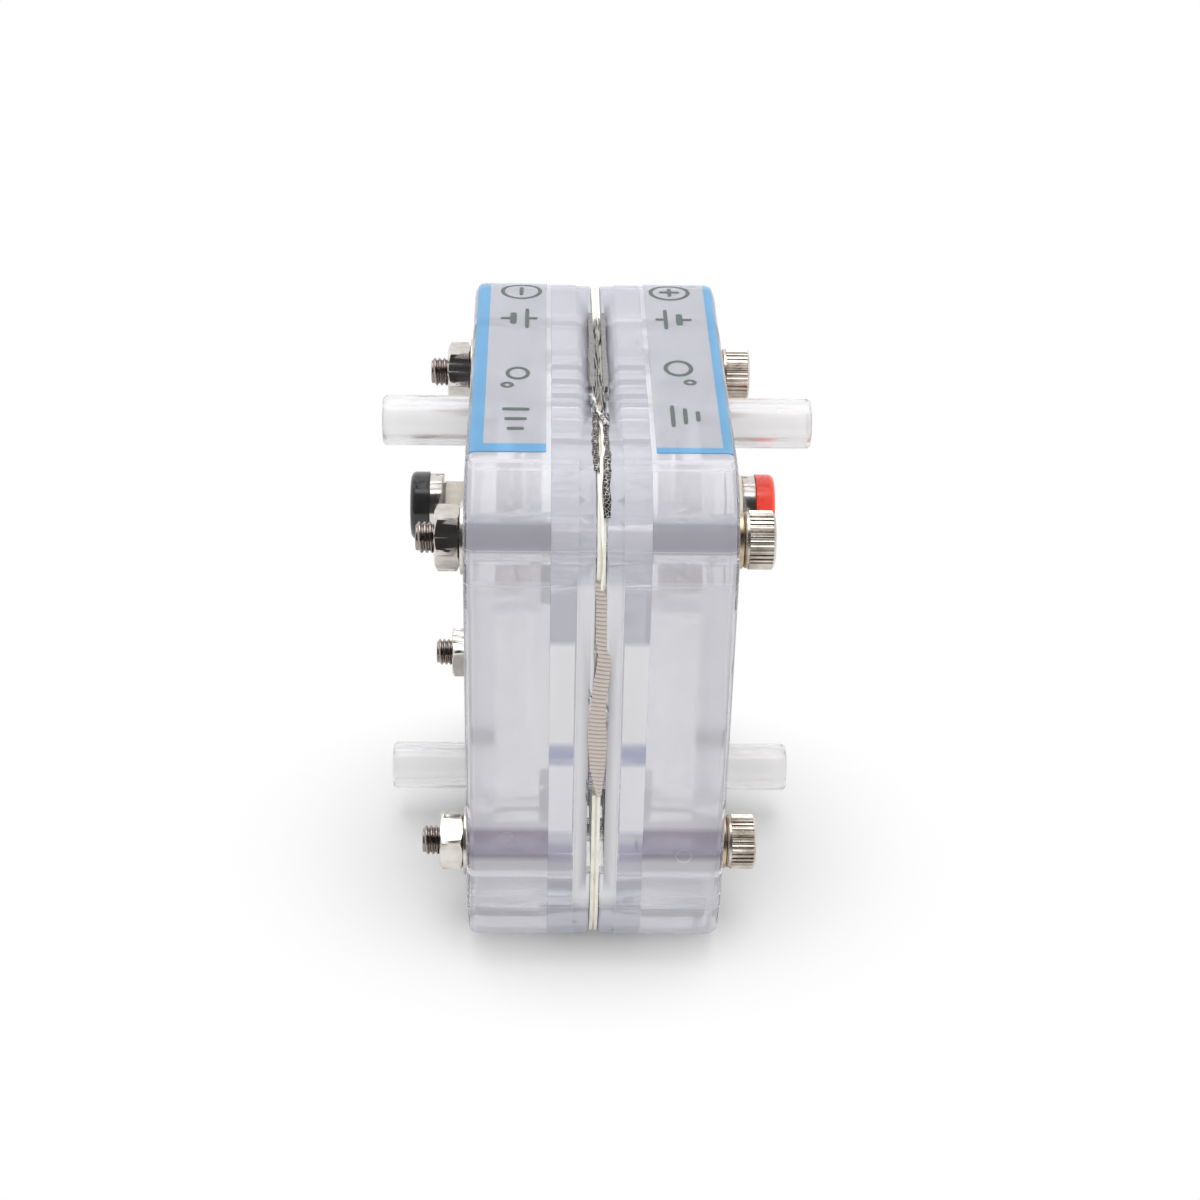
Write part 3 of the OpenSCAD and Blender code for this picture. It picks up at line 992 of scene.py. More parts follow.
NICKEL = PlatedMetal("warm_nickel", "nickel_plate", stretch=(0.2, 1, 1))
KNURLED = PlatedMetal("knurled_nickel", "nickel_plate", (0.74, 0.68, 0.61), (0.50, 0.43, 0.36),
                      matt=(0.24, 0.38))
# The thread is painted dark beyond 4.6 mm, inside the frosted blocks, as painted shade, and lifted again by
# 2.6 beyond 12.6 mm.
THREAD = PlatedMetal("rolled_thread", "nickel_plate", (0.86, 0.84, 0.82), (0.66, 0.63, 0.60),
                     matt=(0.18, 0.35), stains=((4.6, (0.16, 0.15, 0.15)), (12.6, (2.6, 2.5, 2.4))))
WASHER = PlatedMetal("washer_steel", "nickel_plate", (0.74, 0.70, 0.64), (0.55, 0.50, 0.44), matt=(0.2, 0.35))
TAN_WASHER = PlatedMetal("tan_washer", "nickel_plate", (0.62, 0.50, 0.34), (0.42, 0.33, 0.22),
                         matt=(0.25, 0.4))
# The frosted blocks carry painted shade of the lower screw on the front flats and of the upper screw on the
# front arcs.
FROSTED = HazyPlastic("frosted_moulding", "frosted_block", (0.99, 0.99, 1.0), (0.83, 0.82, 0.87), haze=0.12,
                      matt=(0.04, 0.08), skin=0.48, flats=(0.12, 0.1), lines=(0.5, 0.3),
                      rings=((-8.6, 16.4), (8.65, 14.4)),
                      bands=(Band(17.6, 14.0, 0.0, 12.5, (0.53, 0.49, 0.57)),
                             Band(50.7, 48.3, 0.0, 12.5, (0.70, 0.70, 0.75), face=19.5)))
# The clear plates carry painted light in the bright windows, with colour factors above 1, and painted shade
# in the dark stripes.
CLEAR = HazyPlastic("clear_moulding", "clear_plate", (0.995, 0.995, 1.0), (0.71, 0.71, 0.79), haze=0.01,
                    matt=(0.04, 0.08), index=1.49, skin=0.66, lines=(0.5, 0.3),
                    bands=(Band(38.8, 27.6, 2.3, 4.7, (1.38, 1.38, 1.26), haze=0.40),
                           Band(27.3, 25.5, 2.3, 4.7, (0.74, 0.78, 0.92), haze=0.2, soft=0.6),
                           Band(25.2, 17.2, 2.3, 4.7, (1.34, 1.34, 1.26), haze=0.36),
                           Band(15.9, 13.8, 2.3, 4.7, (0.72, 0.70, 0.80), haze=0.1),
                           Band(45.5, 8.5, 0.3, 2.15, (1.34, 1.34, 1.24), haze=0.40, soft=1.0)))
TUBE = HazyPlastic("milky_tube", "stub_plastic", (0.995, 0.99, 0.985), (1.0, 0.985, 0.98), haze=0.23,
                   matt=(0.12, 0.2), wave=0.01, stretch=(0.05, 1, 1))
IVORY = GlossPlastic("ivory_collar", "nickel_plate", (0.84, 0.78, 0.66), roughness=0.3)
BLACK = GlossPlastic("black_ring_plastic", "ring_black")
INK = GlossPlastic("grey_ink", "label_film", (0.045, 0.07, 0.06), roughness=0.4)
RED = GlossPlastic("red_ring_plastic", "ring_red", (1.0, 0.06, 0.03), roughness=0.3)
CREAM = SoftSheet("cream_silicone", "sheet_silicone", (0.84, 0.83, 0.76), (0.72, 0.70, 0.62))
PALE = SoftSheet("pale_silicone", "sheet_silicone", (0.50, 0.48, 0.46), (0.16, 0.15, 0.15),
                 grain=4500, depth=0.05)
MEMBRANE = SoftSheet("coated_membrane", "membrane_film", (0.72, 0.66, 0.50), (0.5, 0.45, 0.34),
                     grain=700, depth=0.01)
SEAL = SoftSheet("seal_silicone", "seal_silicone", (0.82, 0.82, 0.78), (0.7, 0.7, 0.66),
                 grain=600, depth=0.01)
FELT = SoftSheet("carbon_felt", "carbon_felt", (0.32, 0.32, 0.33), (0.12, 0.12, 0.13), grain=4000, depth=0.06)
WIRE = WovenWire("woven_wire", "woven_mesh")
SILVER_WIRE = WovenWire("silver_wire", "woven_mesh", (0.80, 0.80, 0.84), (0.45, 0.45, 0.48), tab_from=50.5)
# Dark wire: the real cut wire ends, and painted shade on the blobs in the hollows beside the strip.
DARK_WIRE_AND_SHADE = WovenWire("dark_wire", "woven_mesh", (0.40, 0.40, 0.41), (0.01, 0.01, 0.01), wires=2600)
KNIT = KnitWire("knitted_wire", "woven_mesh")
CROSSED = KnitWire("crossed_wire", "woven_mesh", (0.14, 0.13, 0.13), (0.74, 0.72, 0.69), loops=2600,
                   stroke=(0.09, 0.2))
RIBBED = RibbedWire("ribbed_wire", "ribbed_strip")


@dataclass
class Housing:
    """The two halves: a frosted end block and a clear cell plate each."""

    block_face: float = 4.6
    seam_face: float = 0.4
    recess_face: float = 0.85
    air: float = 0.015

    def part_faces(self, piece: Piece, face: float) -> None:
        """Draws the points on one face back by the thickness of an air film.

        Args:
            piece: The moulding to change.
            face: Distance of the face from the seam plane in millimetres.
        """
        def move(at: Vector) -> Vector:
            """Moves a point outward where it lies on the face.

            Args:
                at: The point in millimetres.

            Returns:
                Its new place.
            """
            if abs(abs(at.x) - face) < TOUCH:
                return at + Vector((math.copysign(self.air, at.x), 0, 0))
            return at

        Bench.reshape(piece, move)

    def build(self) -> None:
        """Makes both halves."""
        for half in Half:
            block = Bench.cast(f"end_block_{half.label}", f"frosted_block_{half.label}")
            self.part_faces(block, self.block_face)
            FROSTED.put(block)
            plate = Bench.cast(f"cell_plate_{half.label}", f"clear_plate_{half.label}")
            self.part_faces(plate, self.seam_face)
            self.part_faces(plate, self.recess_face)
            CLEAR.put(plate)


@dataclass
class ScrewSet:
    """Four cap screws with nuts and washers, laid along X from the seam plane."""

    spacing: float = 35.5
    # Head with its knurl and key socket
    head_seat: float = 13.5
    head_h: float = 3.0
    core_r: float = 2.69
    crest_r: float = 2.8
    knurls: int = 36
    knurl_sides: int = 3
    knurl_from: float = 0.55
    knurl_to: float = 2.75
    knurl_sink: float = 0.02
    band_ends: tuple[float, float] = (0.1, 0.05)
    on_axis: float = 0.1
    key_af: float = 2.5
    key_depth: float = 1.3
    rim: float = 0.35
    # Shank and thread
    rod_sides: int = 72
    thread_end: float = -17.3
    thread_top: float = 0.7
    runout: float = 0.3
    lap: float = 0.2
    shank_rim: float = 0.12
    core_rim: float = 0.15
    pitch: float = 0.5
    crest_from: float = 0.42
    crest_to: float = 0.58
    root_r: float = 1.22
    root_cover: float = 0.02
    thread_r: float = 1.49
    steps: int = 24

    def spin_thread(self) -> Piece:
        """Winds the thread as a helix round the X axis.

        Returns:
            The thread's surface.
        """
        thread = Bench.make(bpy.ops.mesh.primitive_plane_add, "thread", size=1)
        corners = [(0.0, self.root_r), (self.crest_from, self.thread_r), (self.crest_to, self.thread_r),
                   (1.0, self.root_r)]
        with Bench.editing(thread, Pick.FACES):
            bpy.ops.mesh.select_all(action="SELECT")
            bpy.ops.mesh.delete(type="ONLY_FACE")
        order = sorted(thread.data.vertices, key=lambda v: math.atan2(v.co.y, v.co.x))
        for point, (turn, radius) in zip(order, corners):
            point.co = Vector((self.thread_end + turn * self.pitch, radius, 0)) * MM
        first, last = order[0].index, order[-1].index
        with Bench.editing(thread, Pick.EDGES):
            closing = (thread.data.vertices[first].co + thread.data.vertices[last].co) / 2
            Bench.pick(thread, Pick.EDGES, lambda at: (at - closing).length < 1e-7)
            bpy.ops.mesh.delete(type="EDGE")
        turns = round((self.thread_top - self.thread_end) / self.pitch)
        Bench.modify(thread, "SCREW", axis="X", angle=2 * math.pi, steps=self.steps, render_steps=self.steps,
                     screw_offset=self.pitch * MM, iterations=turns,
                     use_merge_vertices=True, merge_threshold=1e-6)
        Bench.outward(thread)
        return thread

    def drum(self, name: str, sides: int, radius: float, start: float, end: float) -> Piece:
        """Makes a cylinder or prism along X.

        Args:
            name: Name of the drum.
            sides: Number of its sides.
            radius: Its radius in millimetres.
            start: Its lower end in millimetres.
            end: Its upper end in millimetres.

        Returns:
            The drum.
        """
        return Bench.make(bpy.ops.mesh.primitive_cylinder_add, name, vertices=sides, radius=radius * MM,
                          depth=(end - start) * MM, location=((start + end) / 2 * MM, 0, 0),
                          rotation=(0, math.pi / 2, 0))

    def turn_rod(self, name: str, start: float, end: float, radius: float, bevel: float) -> Piece:
        """Turns a rod along X with rounded ends.

        Args:
            name: Name of the rod.
            start: Its lower end in millimetres.
            end: Its upper end in millimetres.
            radius: Its radius in millimetres.
            bevel: Rounding of its ends in millimetres.

        Returns:
            The rod.
        """
        rod = self.drum(name, self.rod_sides, radius, start, end)
        Bench.modify(rod, "BEVEL", width=bevel * MM, segments=4, limit_method="ANGLE")
        return rod

    def knurl_band(self) -> Piece:
        """Cuts the knurled band that goes round the head.

        Returns:
            The band.
        """
        start, stop = self.head_seat + self.knurl_from, self.head_seat + self.knurl_to
        sides = self.knurl_sides * self.knurls
        band = self.drum("band", sides, self.crest_r, start, stop)
        step = 2 * math.pi / sides
        with Bench.editing(band, Pick.POINTS):
            Bench.pick(band, Pick.POINTS,
                       lambda at: round(math.atan2(at.z, at.y) / step) % self.knurl_sides == 0)
            low = (self.core_r - self.knurl_sink) / self.crest_r
            bpy.ops.transform.resize(value=(1, low, low), center_override=((start + stop) / 2 * MM, 0, 0))
        thickness, depth = self.band_ends
        with Bench.editing(band, Pick.FACES):
            Bench.pick(band, Pick.FACES, lambda at: math.hypot(at.y, at.z) < self.on_axis * MM)
            bpy.ops.mesh.inset(thickness=thickness * MM, depth=depth * MM)
        return band

    def turn_head(self) -> Piece:
        """Turns the head with its key socket and puts the knurled band round it.

        Returns:
            The head.
        """
        end = self.head_seat + self.head_h
        core = self.turn_rod("head_core", self.head_seat, end, self.core_r, self.rim)
        key = self.drum("key", 6, self.key_af / math.sqrt(3), end - self.key_depth, end + self.key_depth)
        Bench.modify(core, "BOOLEAN", operation="DIFFERENCE", object=key, solver="EXACT")
        bpy.data.objects.remove(key)
        return Bench.join([core, self.knurl_band()], "head")

    def turn_stem(self) -> Piece:
        """Turns the shank and the threaded end.

        Returns:
            The stem.
        """
        shank = self.turn_rod("shank", self.thread_top - self.runout, self.head_seat + self.lap,
                              self.thread_r, self.shank_rim)
        core = self.turn_rod("core", self.thread_end, self.thread_top + self.lap,
                             self.root_r + self.root_cover, self.core_rim)
        return Bench.join([shank, core, self.spin_thread()], "rod")

    def build(self) -> None:
        """Makes the screws, and dresses nuts and washers."""
        head, rod = self.turn_head(), self.turn_stem()
        Bench.smooth(head, angle=28)
        Bench.smooth(rod, angle=40)
        at = self.spacing / 2
        places = {"front_lower": (-at, -at), "front_upper": (-at, at),
                  "back_lower": (at, -at), "back_upper": (at, at)}
        for place, (y, z) in places.items():
            cap = Bench.twin(head, f"screw_head_{place}", (0, y, MIDDLE + z))
            KNURLED.put(cap)
            THREAD.put(Bench.twin(rod, f"screw_thread_{place}", (0, y, MIDDLE + z)))
            if place == "front_lower":
                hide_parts("cap_screws")
        bpy.data.objects.remove(head)
        bpy.data.objects.remove(rod)
        NICKEL.put(Bench.cast("hex_nuts", "chamfered_nuts", angle=25))
        WASHER.put(Bench.cast("nut_washers", "wide_washers", bevel=0.08))
        TAN_WASHER.put(Bench.cast("head_washers", "small_washers", bevel=0.12))


@dataclass
class HoseStubs:
    """The four hose stubs."""

    def build(self) -> None:
        """Smooths and dresses the stubs."""
        for half in Half:
            for height in ("upper", "lower"):
                TUBE.put(Bench.cast(f"{height}_stub_{half.label}", f"{height}_tube_{half.label}"))


@dataclass
class Jacks:
    """The two plug jacks with their coloured rings."""

    rings: dict[Half, Finish] = field(default_factory=lambda: {Half.MINUS: BLACK, Half.PLUS: RED})

    def build(self) -> None:
        """Smooths and dresses the jacks."""
        for half in Half:
            NICKEL.put(Bench.cast(f"jack_socket_{half.label}", f"socket_{half.label}", bevel=0.08))
            IVORY.put(Bench.cast(f"jack_collar_{half.label}", f"collar_{half.label}", angle=25, bevel=0.05))
            NICKEL.put(frame["nodes"][f"jack_nut_{half.label}"])
            self.rings[half].put(Bench.cast(f"jack_ring_{half.label}", f"ring_{half.label}"))


@dataclass(frozen=True)
class Ripple:
    """One soft wave."""

    height: float
    rate: float
    phase: float = 0.0

    def at(self, angle: float) -> float:
        """Height of the wave at an angle."""
        return self.height * math.sin(self.rate * angle + self.phase)


@dataclass(frozen=True)
class Ribbon:
    """One wavy edge of woven wire that shows in the seam."""

    name: str
    start: float
    end: float
    at: float
    sway: float
    waves: float
    phase: float
    top: float = 0.3
    tilt: float = 0.0
    thick: float = 0.12

    @property
    def knitted(self) -> bool:
        """Whether the edge is a knitted one, which lies deeper than the layers."""
        return self.top < KNIT_TOP


@dataclass
class Cell:
    """What lies in the seam: sheets, membrane, felts, woven collectors and the ribbed strip."""

    # Ribbed strip: heights, face and relief, then height, left and right of its outline
    strip_top: float = 45.4
    strip_end: float = 21.5
    strip_face: float = -26.9
    strip_sink: float = 0.35
    strip_t: float = 0.3
    strip_lean: float = 0.30
    strip_bow: float = 0.075
    bow_pitch: float = 15.0
    bow_from: float = 0.4
    rib_pitch: float = 0.45
    rib_slant: float = 0.16
    rib_height: float = 0.12
    rib_cells: tuple[int, int] = (10, 8)
    strip_edges: tuple[tuple[float, float, float], ...] = (
        (45.4, -0.40, -0.10), (43.4, -0.35, 0.50), (39.6, -0.33, 0.58), (38.0, -0.28, 0.60),
        (37.6, -0.10, 0.98), (35.9, -0.20, 1.00), (34.5, -0.47, 0.90), (32.6, -0.67, 0.67),
        (31.6, -0.83, 0.62), (30.7, -0.87, 0.64), (28.0, -0.92, 0.86), (24.7, -0.65, 0.72),
        (22.7, -0.18, 0.46), (21.5, 0.16, 0.24))
    # Woven edges of the collectors
    ribbons: tuple[Ribbon, ...] = (
        Ribbon("layer_1_minus", 11.6, -8.5, -0.90, 0.07, 1.3, 0.3, 0.20, 0.10),
        Ribbon("layer_2_minus", 11.0, -10.5, -0.62, 0.09, 1.1, 1.2, 0.24, -0.08),
        Ribbon("layer_3_minus", 10.8, -9.5, -0.36, 0.12, 1.5, 2.2, 0.21, 0.08),
        Ribbon("layer_middle", 10.9, -7.5, -0.08, 0.10, 1.2, 2.9, 0.26, 0.06),
        Ribbon("layer_3_plus", 11.2, -9.8, 0.20, 0.13, 1.4, 0.9, 0.22, -0.08),
        Ribbon("layer_2_plus", 10.6, -8.4, 0.52, 0.10, 1.6, 1.7, 0.25, 0.08),
        Ribbon("layer_1_plus", 10.2, -7.0, 0.86, 0.06, 1.2, 2.4, 0.21, -0.06),
        Ribbon("knit_edge_minus", -9.6, -20.6, -0.50, 0.06, 1.2, 0.2, 0.06, 0.62),
        Ribbon("knit_edge_plus", -9.8, -25.6, 0.50, 0.06, 1.9, 1.1, 0.06, 0.62))
    # Silicone beads, and dark blobs of painted shade for the hollows beside the strip: middle and half size
    beads: tuple[tuple[str, Point, Point], ...] = (
        ("bead_left", (-0.36, -26.71, 38.2), (0.16, 0.2, 1.5)),
        ("bead_right", (0.82, -26.71, 31.2), (0.17, 0.2, 2.1)))
    pockets: tuple[tuple[str, Point, Point], ...] = (
        ("pocket_upper", (-0.82, -26.69, 33.1), (0.22, 0.2, 1.4)),
        ("pocket_lower", (-0.92, -26.69, 22.4), (0.14, 0.2, 2.2)))
    folds: tuple[tuple[float, Point], ...] = ((0.22, (4, 0, 9)), (0.12, (17, -11, 0)))
    # Waves of the woven edges
    ribbon_cells: tuple[int, int] = (8, 5)
    grid_step: float = 0.09
    ribbon_waves: tuple[Ripple, ...] = (Ripple(1.0, 1.0), Ripple(0.45, 2.7, 1.3), Ripple(0.2, 7.1))
    ribbon_fall: Ripple = Ripple(0.12, 3.3)
    ribbon_depth: float = 1.4
    knot_height: float = 0.018
    knot_pitch: float = 0.42
    knot_lean: float = 3.1
    edge_bow: float = 0.5
    knit_sink: float = 0.12
    knit_wave: Ripple = Ripple(0.03, 37)
    # Crossing lap: start and end of its run, left and right
    cross_lap: tuple[float, float, float, float] = (-6.0, -12.5, -0.75, 0.45)
    cross_sway: Ripple = Ripple(0.13, 9)
    cross_wave: Ripple = Ripple(0.08, 14)
    cross_width: float = 0.42
    cross_rise: float = 0.12
    cross_t: float = 0.08
    cross_cells: tuple[int, int] = (60, 4)
    # Cream lap
    lap_start: float = -12.0
    lap_over: float = 0.4
    lap_x: float = 0.03
    lap_waves: tuple[Ripple, ...] = (Ripple(0.16, 9, 0.03), Ripple(0.05, 31))
    lap_sink: float = 0.05
    lap_depth: float = 1.2
    lap_t: float = 0.26
    lap_rim: float = 0.04
    lap_cells: tuple[int, int] = (220, 3)
    # Cut wire ends beside the strip
    wire_r: float = 0.075
    wire_len: float = 0.3
    wire_rim: float = 0.03
    wire_share: float = 0.62
    wire_gap: float = 0.03
    wire_wave: Ripple = Ripple(0.03, 7)

    def along(self, path: float) -> tuple[Vector, Vector]:
        """Follows the skin from the top over the front upper corner and down.

        Args:
            path: Minus the run along the skin in millimetres, equal to Y while on the top.

        Returns:
            The place on the skin at X 0 and the outward way there.
        """
        if path >= -CORNER_AT:
            return Vector((0, path, 2 * MIDDLE)), Vector((0, 0, 1))
        turn = min((-CORNER_AT - path) / CORNER_R, math.pi / 2)
        way = Vector((0, -math.sin(turn), math.cos(turn)))
        place = Vector((0, -CORNER_AT, MIDDLE + CORNER_AT)) + way * CORNER_R
        down = max(0.0, -CORNER_AT - path - CORNER_R * math.pi / 2)
        return place - Vector((0, 0, down)), way

    def shape_grid(self, name: str, cells: tuple[int, int], rule: Callable[[float, float], Vector],
                   thick: float, offset: float = 0, bevel: float = 0, angle: float = 60) -> Piece:
        """Shapes a fine grid by a rule and gives it thickness.

        Args:
            name: Name of the piece.
            cells: Number of the grid's cells along its two sides.
            rule: Takes the two shares of the sides, 0 to 1, and gives the place in millimetres.
            thick: Thickness in millimetres.
            offset: Side on which the thickness grows, 0 for both.
            bevel: Rounding of the edges in millimetres.
            angle: Angle in degrees above which an edge stays sharp.

        Returns:
            The piece.
        """
        piece = Bench.make(bpy.ops.mesh.primitive_grid_add, name,
                           x_subdivisions=cells[0], y_subdivisions=cells[1], size=1)
        Bench.reshape(piece, lambda at: rule(at.x * MM + 0.5, at.y * MM + 0.5))
        Bench.modify(piece, "SOLIDIFY", thickness=thick * MM, offset=offset)
        if bevel:
            Bench.modify(piece, "BEVEL", width=bevel * MM, segments=2, limit_method="ANGLE")
        Bench.smooth(piece, angle)
        return piece

    def weave(self, ribbon: Ribbon) -> Piece:
        """Weaves one wavy wire edge.

        Args:
            ribbon: Its run, place and waves.

        Returns:
            The piece.
        """
        run = ribbon.start - ribbon.end

        def hang(share: float, depth: float) -> Vector:
            """Hangs a grid point into the seam.

            Args:
                share: Share of the run.
                depth: 0 at the lower edge, 1 at the upper one.

            Returns:
                Its place.
            """
            place, way = self.along(ribbon.start - share * run)
            angle = 2 * math.pi * (ribbon.waves * share) + ribbon.phase
            wave = sum(ripple.at(angle) for ripple in self.ribbon_waves)
            knot = self.knot_height * math.sin(2 * math.pi * share * run / self.knot_pitch
                                               + self.knot_lean * depth)
            x = ribbon.at + ribbon.sway * wave + knot + ribbon.tilt * (depth - 0.5)
            if ribbon.knitted:
                rise = -self.knit_sink - self.edge_bow * (depth - 0.5) ** 2 + self.knit_wave.at(share)
            else:
                rise = self.ribbon_fall.at(angle) * depth - self.ribbon_depth * (1 - depth)
            return place + way * (ribbon.top + rise) + Vector((x, 0, 0))

        fewest, deep = self.ribbon_cells
        return self.shape_grid(ribbon.name, (max(fewest, round(run / self.grid_step)), deep),
                               hang, ribbon.thick)

    def cross_sheet(self) -> Piece:
        """Lays the pale lap that crosses the seam from left to right.

        Returns:
            The lap.
        """
        start, end, left, right = self.cross_lap

        def lay(share: float, depth: float) -> Vector:
            """Puts a grid point on the crossing run.

            Args:
                share: Share of the run.
                depth: 0 at the lower edge, 1 at the upper one.

            Returns:
                Its place.
            """
            place, way = self.along(start + (end - start) * share)
            slide, across = share * share * (3 - 2 * share), depth - 0.5
            x = left + (right - left) * slide + self.cross_sway.at(share) + self.cross_width * across
            rise = self.cross_rise - self.edge_bow * across ** 2 + self.cross_wave.at(share)
            return place + way * rise + Vector((x, 0, 0))

        return self.shape_grid("crossing_lap", self.cross_cells, lay, self.cross_t)

    def crinkle(self, name: str, place: Point, size: Point) -> Piece:
        """Squeezes out a small crinkled bead of silicone.

        Args:
            name: Name of the bead.
            place: Its middle in millimetres.
            size: Half its size along the three directions.

        Returns:
            The bead.
        """
        bead = Bench.make(bpy.ops.mesh.primitive_ico_sphere_add, name, subdivisions=4, radius=MM)

        def squeeze(at: Vector) -> Vector:
            """Crinkles a point of the bead."""
            fold = 1 + sum(height * math.sin(at.dot(Vector(rates))) for height, rates in self.folds)
            return Vector(at[i] * size[i] * fold + place[i] for i in range(3))

        Bench.reshape(bead, squeeze)
        Bench.smooth(bead, 60)
        return bead

    def edge_at(self, height: float) -> tuple[float, float]:
        """Finds the left and right edge of the strip at a height.

        Args:
            height: The height in millimetres.

        Returns:
            X of the two edges.
        """
        rows = self.strip_edges
        for (z1, left1, right1), (z2, left2, right2) in zip(rows, rows[1:]):
            if z2 <= height <= z1:
                share = (z1 - height) / (z1 - z2)
                return left1 + (left2 - left1) * share, right1 + (right2 - right1) * share
        return rows[-1][1:] if height < rows[-1][0] else rows[0][1:]

    def rib_strip(self) -> Piece:
        """Presses the ribbed strip out of a fine grid.

        Returns:
            The strip.
        """
        run = self.strip_top - self.strip_end

        def press(across: float, share: float) -> Vector:
            """Puts a grid point on the ribbed face.

            Args:
                across: Share of the width.
                share: Share of the height.

            Returns:
                Its place.
            """
            height = self.strip_end + share * run
            left, right = self.edge_at(height)
            rib = abs(math.sin(math.pi * (height + self.rib_slant * across) / self.rib_pitch))
            bow = (self.strip_bow * math.cos(2 * math.pi * (height - MIDDLE) / self.bow_pitch)
                   * (across - self.bow_from))
            lean = self.strip_lean * (across - 0.5) ** 2
            y = self.strip_face + self.strip_sink - self.rib_height * rib + bow + lean
            return Vector((left + (right - left) * across, y, height))

        wide, per_rib = self.rib_cells
        cells = (wide, round(run / self.rib_pitch * per_rib))
        return self.shape_grid("ribbed_strip", cells, press, self.strip_t, offset=1, angle=50)

    def cut_wires(self) -> Piece:
        """Sets the dark cut wire ends along the strip's left edge.

        Returns:
            The wire ends.
        """
        piece = Bench.make(bpy.ops.mesh.primitive_cylinder_add, "cut_wires", vertices=8,
                           radius=self.wire_r * MM, depth=self.wire_len * MM,
                           location=(0, 0, self.strip_end * MM), rotation=(math.pi / 2, 0, 0))
        Bench.modify(piece, "BEVEL", width=self.wire_rim * MM, segments=1)
        step = self.rib_pitch * self.wire_share
        Bench.modify(piece, "ARRAY", count=int((self.strip_top - self.strip_end) / step),
                     use_relative_offset=False, use_constant_offset=True,
                     constant_offset_displace=(0, 0, step * MM))

        def follow(at: Vector) -> Vector:
            """Moves a wire to the strip's edge.

            Args:
                at: A point of the wire in millimetres.

            Returns:
                Its new place.
            """
            own = self.strip_end + round((at.z - self.strip_end) / step) * step
            left = self.edge_at(own)[0]
            return at + Vector((left - self.wire_gap + self.wire_wave.at(own),
                                self.strip_face + self.strip_t, 0))

        Bench.reshape(piece, follow)
        return piece

    def lap_sheet(self) -> Piece:
        """Lays the wavy lap of cream silicone that shows at the front of the seam.

        Returns:
            The lap.
        """
        run = CORNER_AT + CORNER_R * math.pi / 2 + self.lap_over + self.lap_start

        def lay(share: float, depth: float) -> Vector:
            """Puts a grid point into the seam.

            Args:
                share: Share of the run.
                depth: 0 at the lower edge, 1 at the upper one.

            Returns:
                Its place.
            """
            place, way = self.along(self.lap_start - run * share)
            x = self.lap_x + sum(ripple.at(share) for ripple in self.lap_waves)
            return place + way * (-self.lap_sink - self.lap_depth * (1 - depth)) + Vector((x, 0, 0))

        return self.shape_grid("lap_cream", self.lap_cells, lay, self.lap_t, bevel=self.lap_rim)

    def build(self) -> None:
        """Dresses the parts between the halves and adds their wavy edges."""
        for half in Half:
            for finish, node in ((CREAM, "sheet_gasket"), (SEAL, "chamber_seal"), (FELT, "electrode"),
                                 (SILVER_WIRE, "mesh_collector")):
                finish.put(frame["nodes"][f"{node}_{half.label}"])
        MEMBRANE.put(frame["nodes"]["membrane"])
        for ribbon in self.ribbons:
            (KNIT if ribbon.knitted else WIRE).put(self.weave(ribbon))
        strip = self.rib_strip()
        RIBBED.put(strip)
        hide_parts("contact_strip")
        DARK_WIRE_AND_SHADE.put(self.cut_wires())
        CREAM.put(self.lap_sheet())
        CROSSED.put(self.cross_sheet())
        # The dark blobs paint the shade of the hollows beside the strip.
        for finish, beads in ((PALE, self.beads), (DARK_WIRE_AND_SHADE, self.pockets)):
            for name, place, size in beads:
                finish.put(self.crinkle(name, place, size))


@dataclass(frozen=True)
class RingMark:
    """A flat printed ring, placed by its distance from the seam plane and by Y."""

    x: float
    y: float
    radius: float
    stretch: float = 1.0

    def draw(self) -> Piece:
        """Draws the ring on the flat.

        Returns:
            The ring.
        """
        ring = Bench.make(bpy.ops.mesh.primitive_torus_add, "ring", major_segments=64, minor_segments=8,
                          major_radius=self.radius * MM, minor_radius=LINE / 2 * MM)
        Bench.reshape(ring, lambda at: Vector((at.x + self.x, at.y * self.stretch + self.y,
                                               max(0.0, at.z) * INK_H / LINE * 2)))
        return ring


@dataclass(frozen=True)
class BarMark:
    """A flat printed bar, placed by its distance from the seam plane and by Y."""

    x: float
    y: float
    width: float
    length: float
    # Rounding of the corners, as a share of the width and length
    rounding: float = 0.2

    def draw(self) -> Piece:
        """Draws the bar on the flat.

        Returns:
            The bar.
        """
        bar = Bench.make(bpy.ops.mesh.primitive_cube_add, "bar", size=1)
        Bench.modify(bar, "BEVEL", width=self.rounding, segments=3, limit_method="ANGLE")
        with Bench.editing(bar, Pick.FACES):
            bpy.ops.mesh.select_all(action="SELECT")
            bpy.ops.mesh.subdivide(number_cuts=2)
        Bench.reshape(bar, lambda at: Vector((at.x * MM * self.width + self.x,
                                              at.y * MM * self.length + self.y,
                                              (at.z * MM + 0.5) * INK_H)))
        return bar


POLE_SIGN = (RingMark(7.75, 18.0, 1.95, 0.95), BarMark(7.75, 18.0, LINE, 2.0))
CELL_SIGN = (BarMark(7.1, 11.2, LINE, 4.6), BarMark(8.5, 11.2, LINE * 1.6, 2.6),
             BarMark(6.5, 11.2, 0.9, LINE), BarMark(9.25, 11.2, 1.1, LINE))
MARKS = {
    Half.MINUS: (*POLE_SIGN, *CELL_SIGN, RingMark(7.9, -1.6, 1.0, 1.2), RingMark(8.9, -4.2, 0.45),
                 *(BarMark(8.0, y, width, LINE * 1.3)
                   for y, width in ((-9.4, 2.6), (-11.4, 2.1), (-13.4, 1.6)))),
    Half.PLUS: (*POLE_SIGN, BarMark(7.75, 18.0, 2.1, LINE), *CELL_SIGN, RingMark(7.9, -0.2, 1.25, 1.25),
                RingMark(8.9, -3.3, 0.45),
                *(BarMark(x, -10.6, LINE, length) for x, length in ((6.9, 4.4), (8.1, 3.2), (9.3, 2.0)))),
}


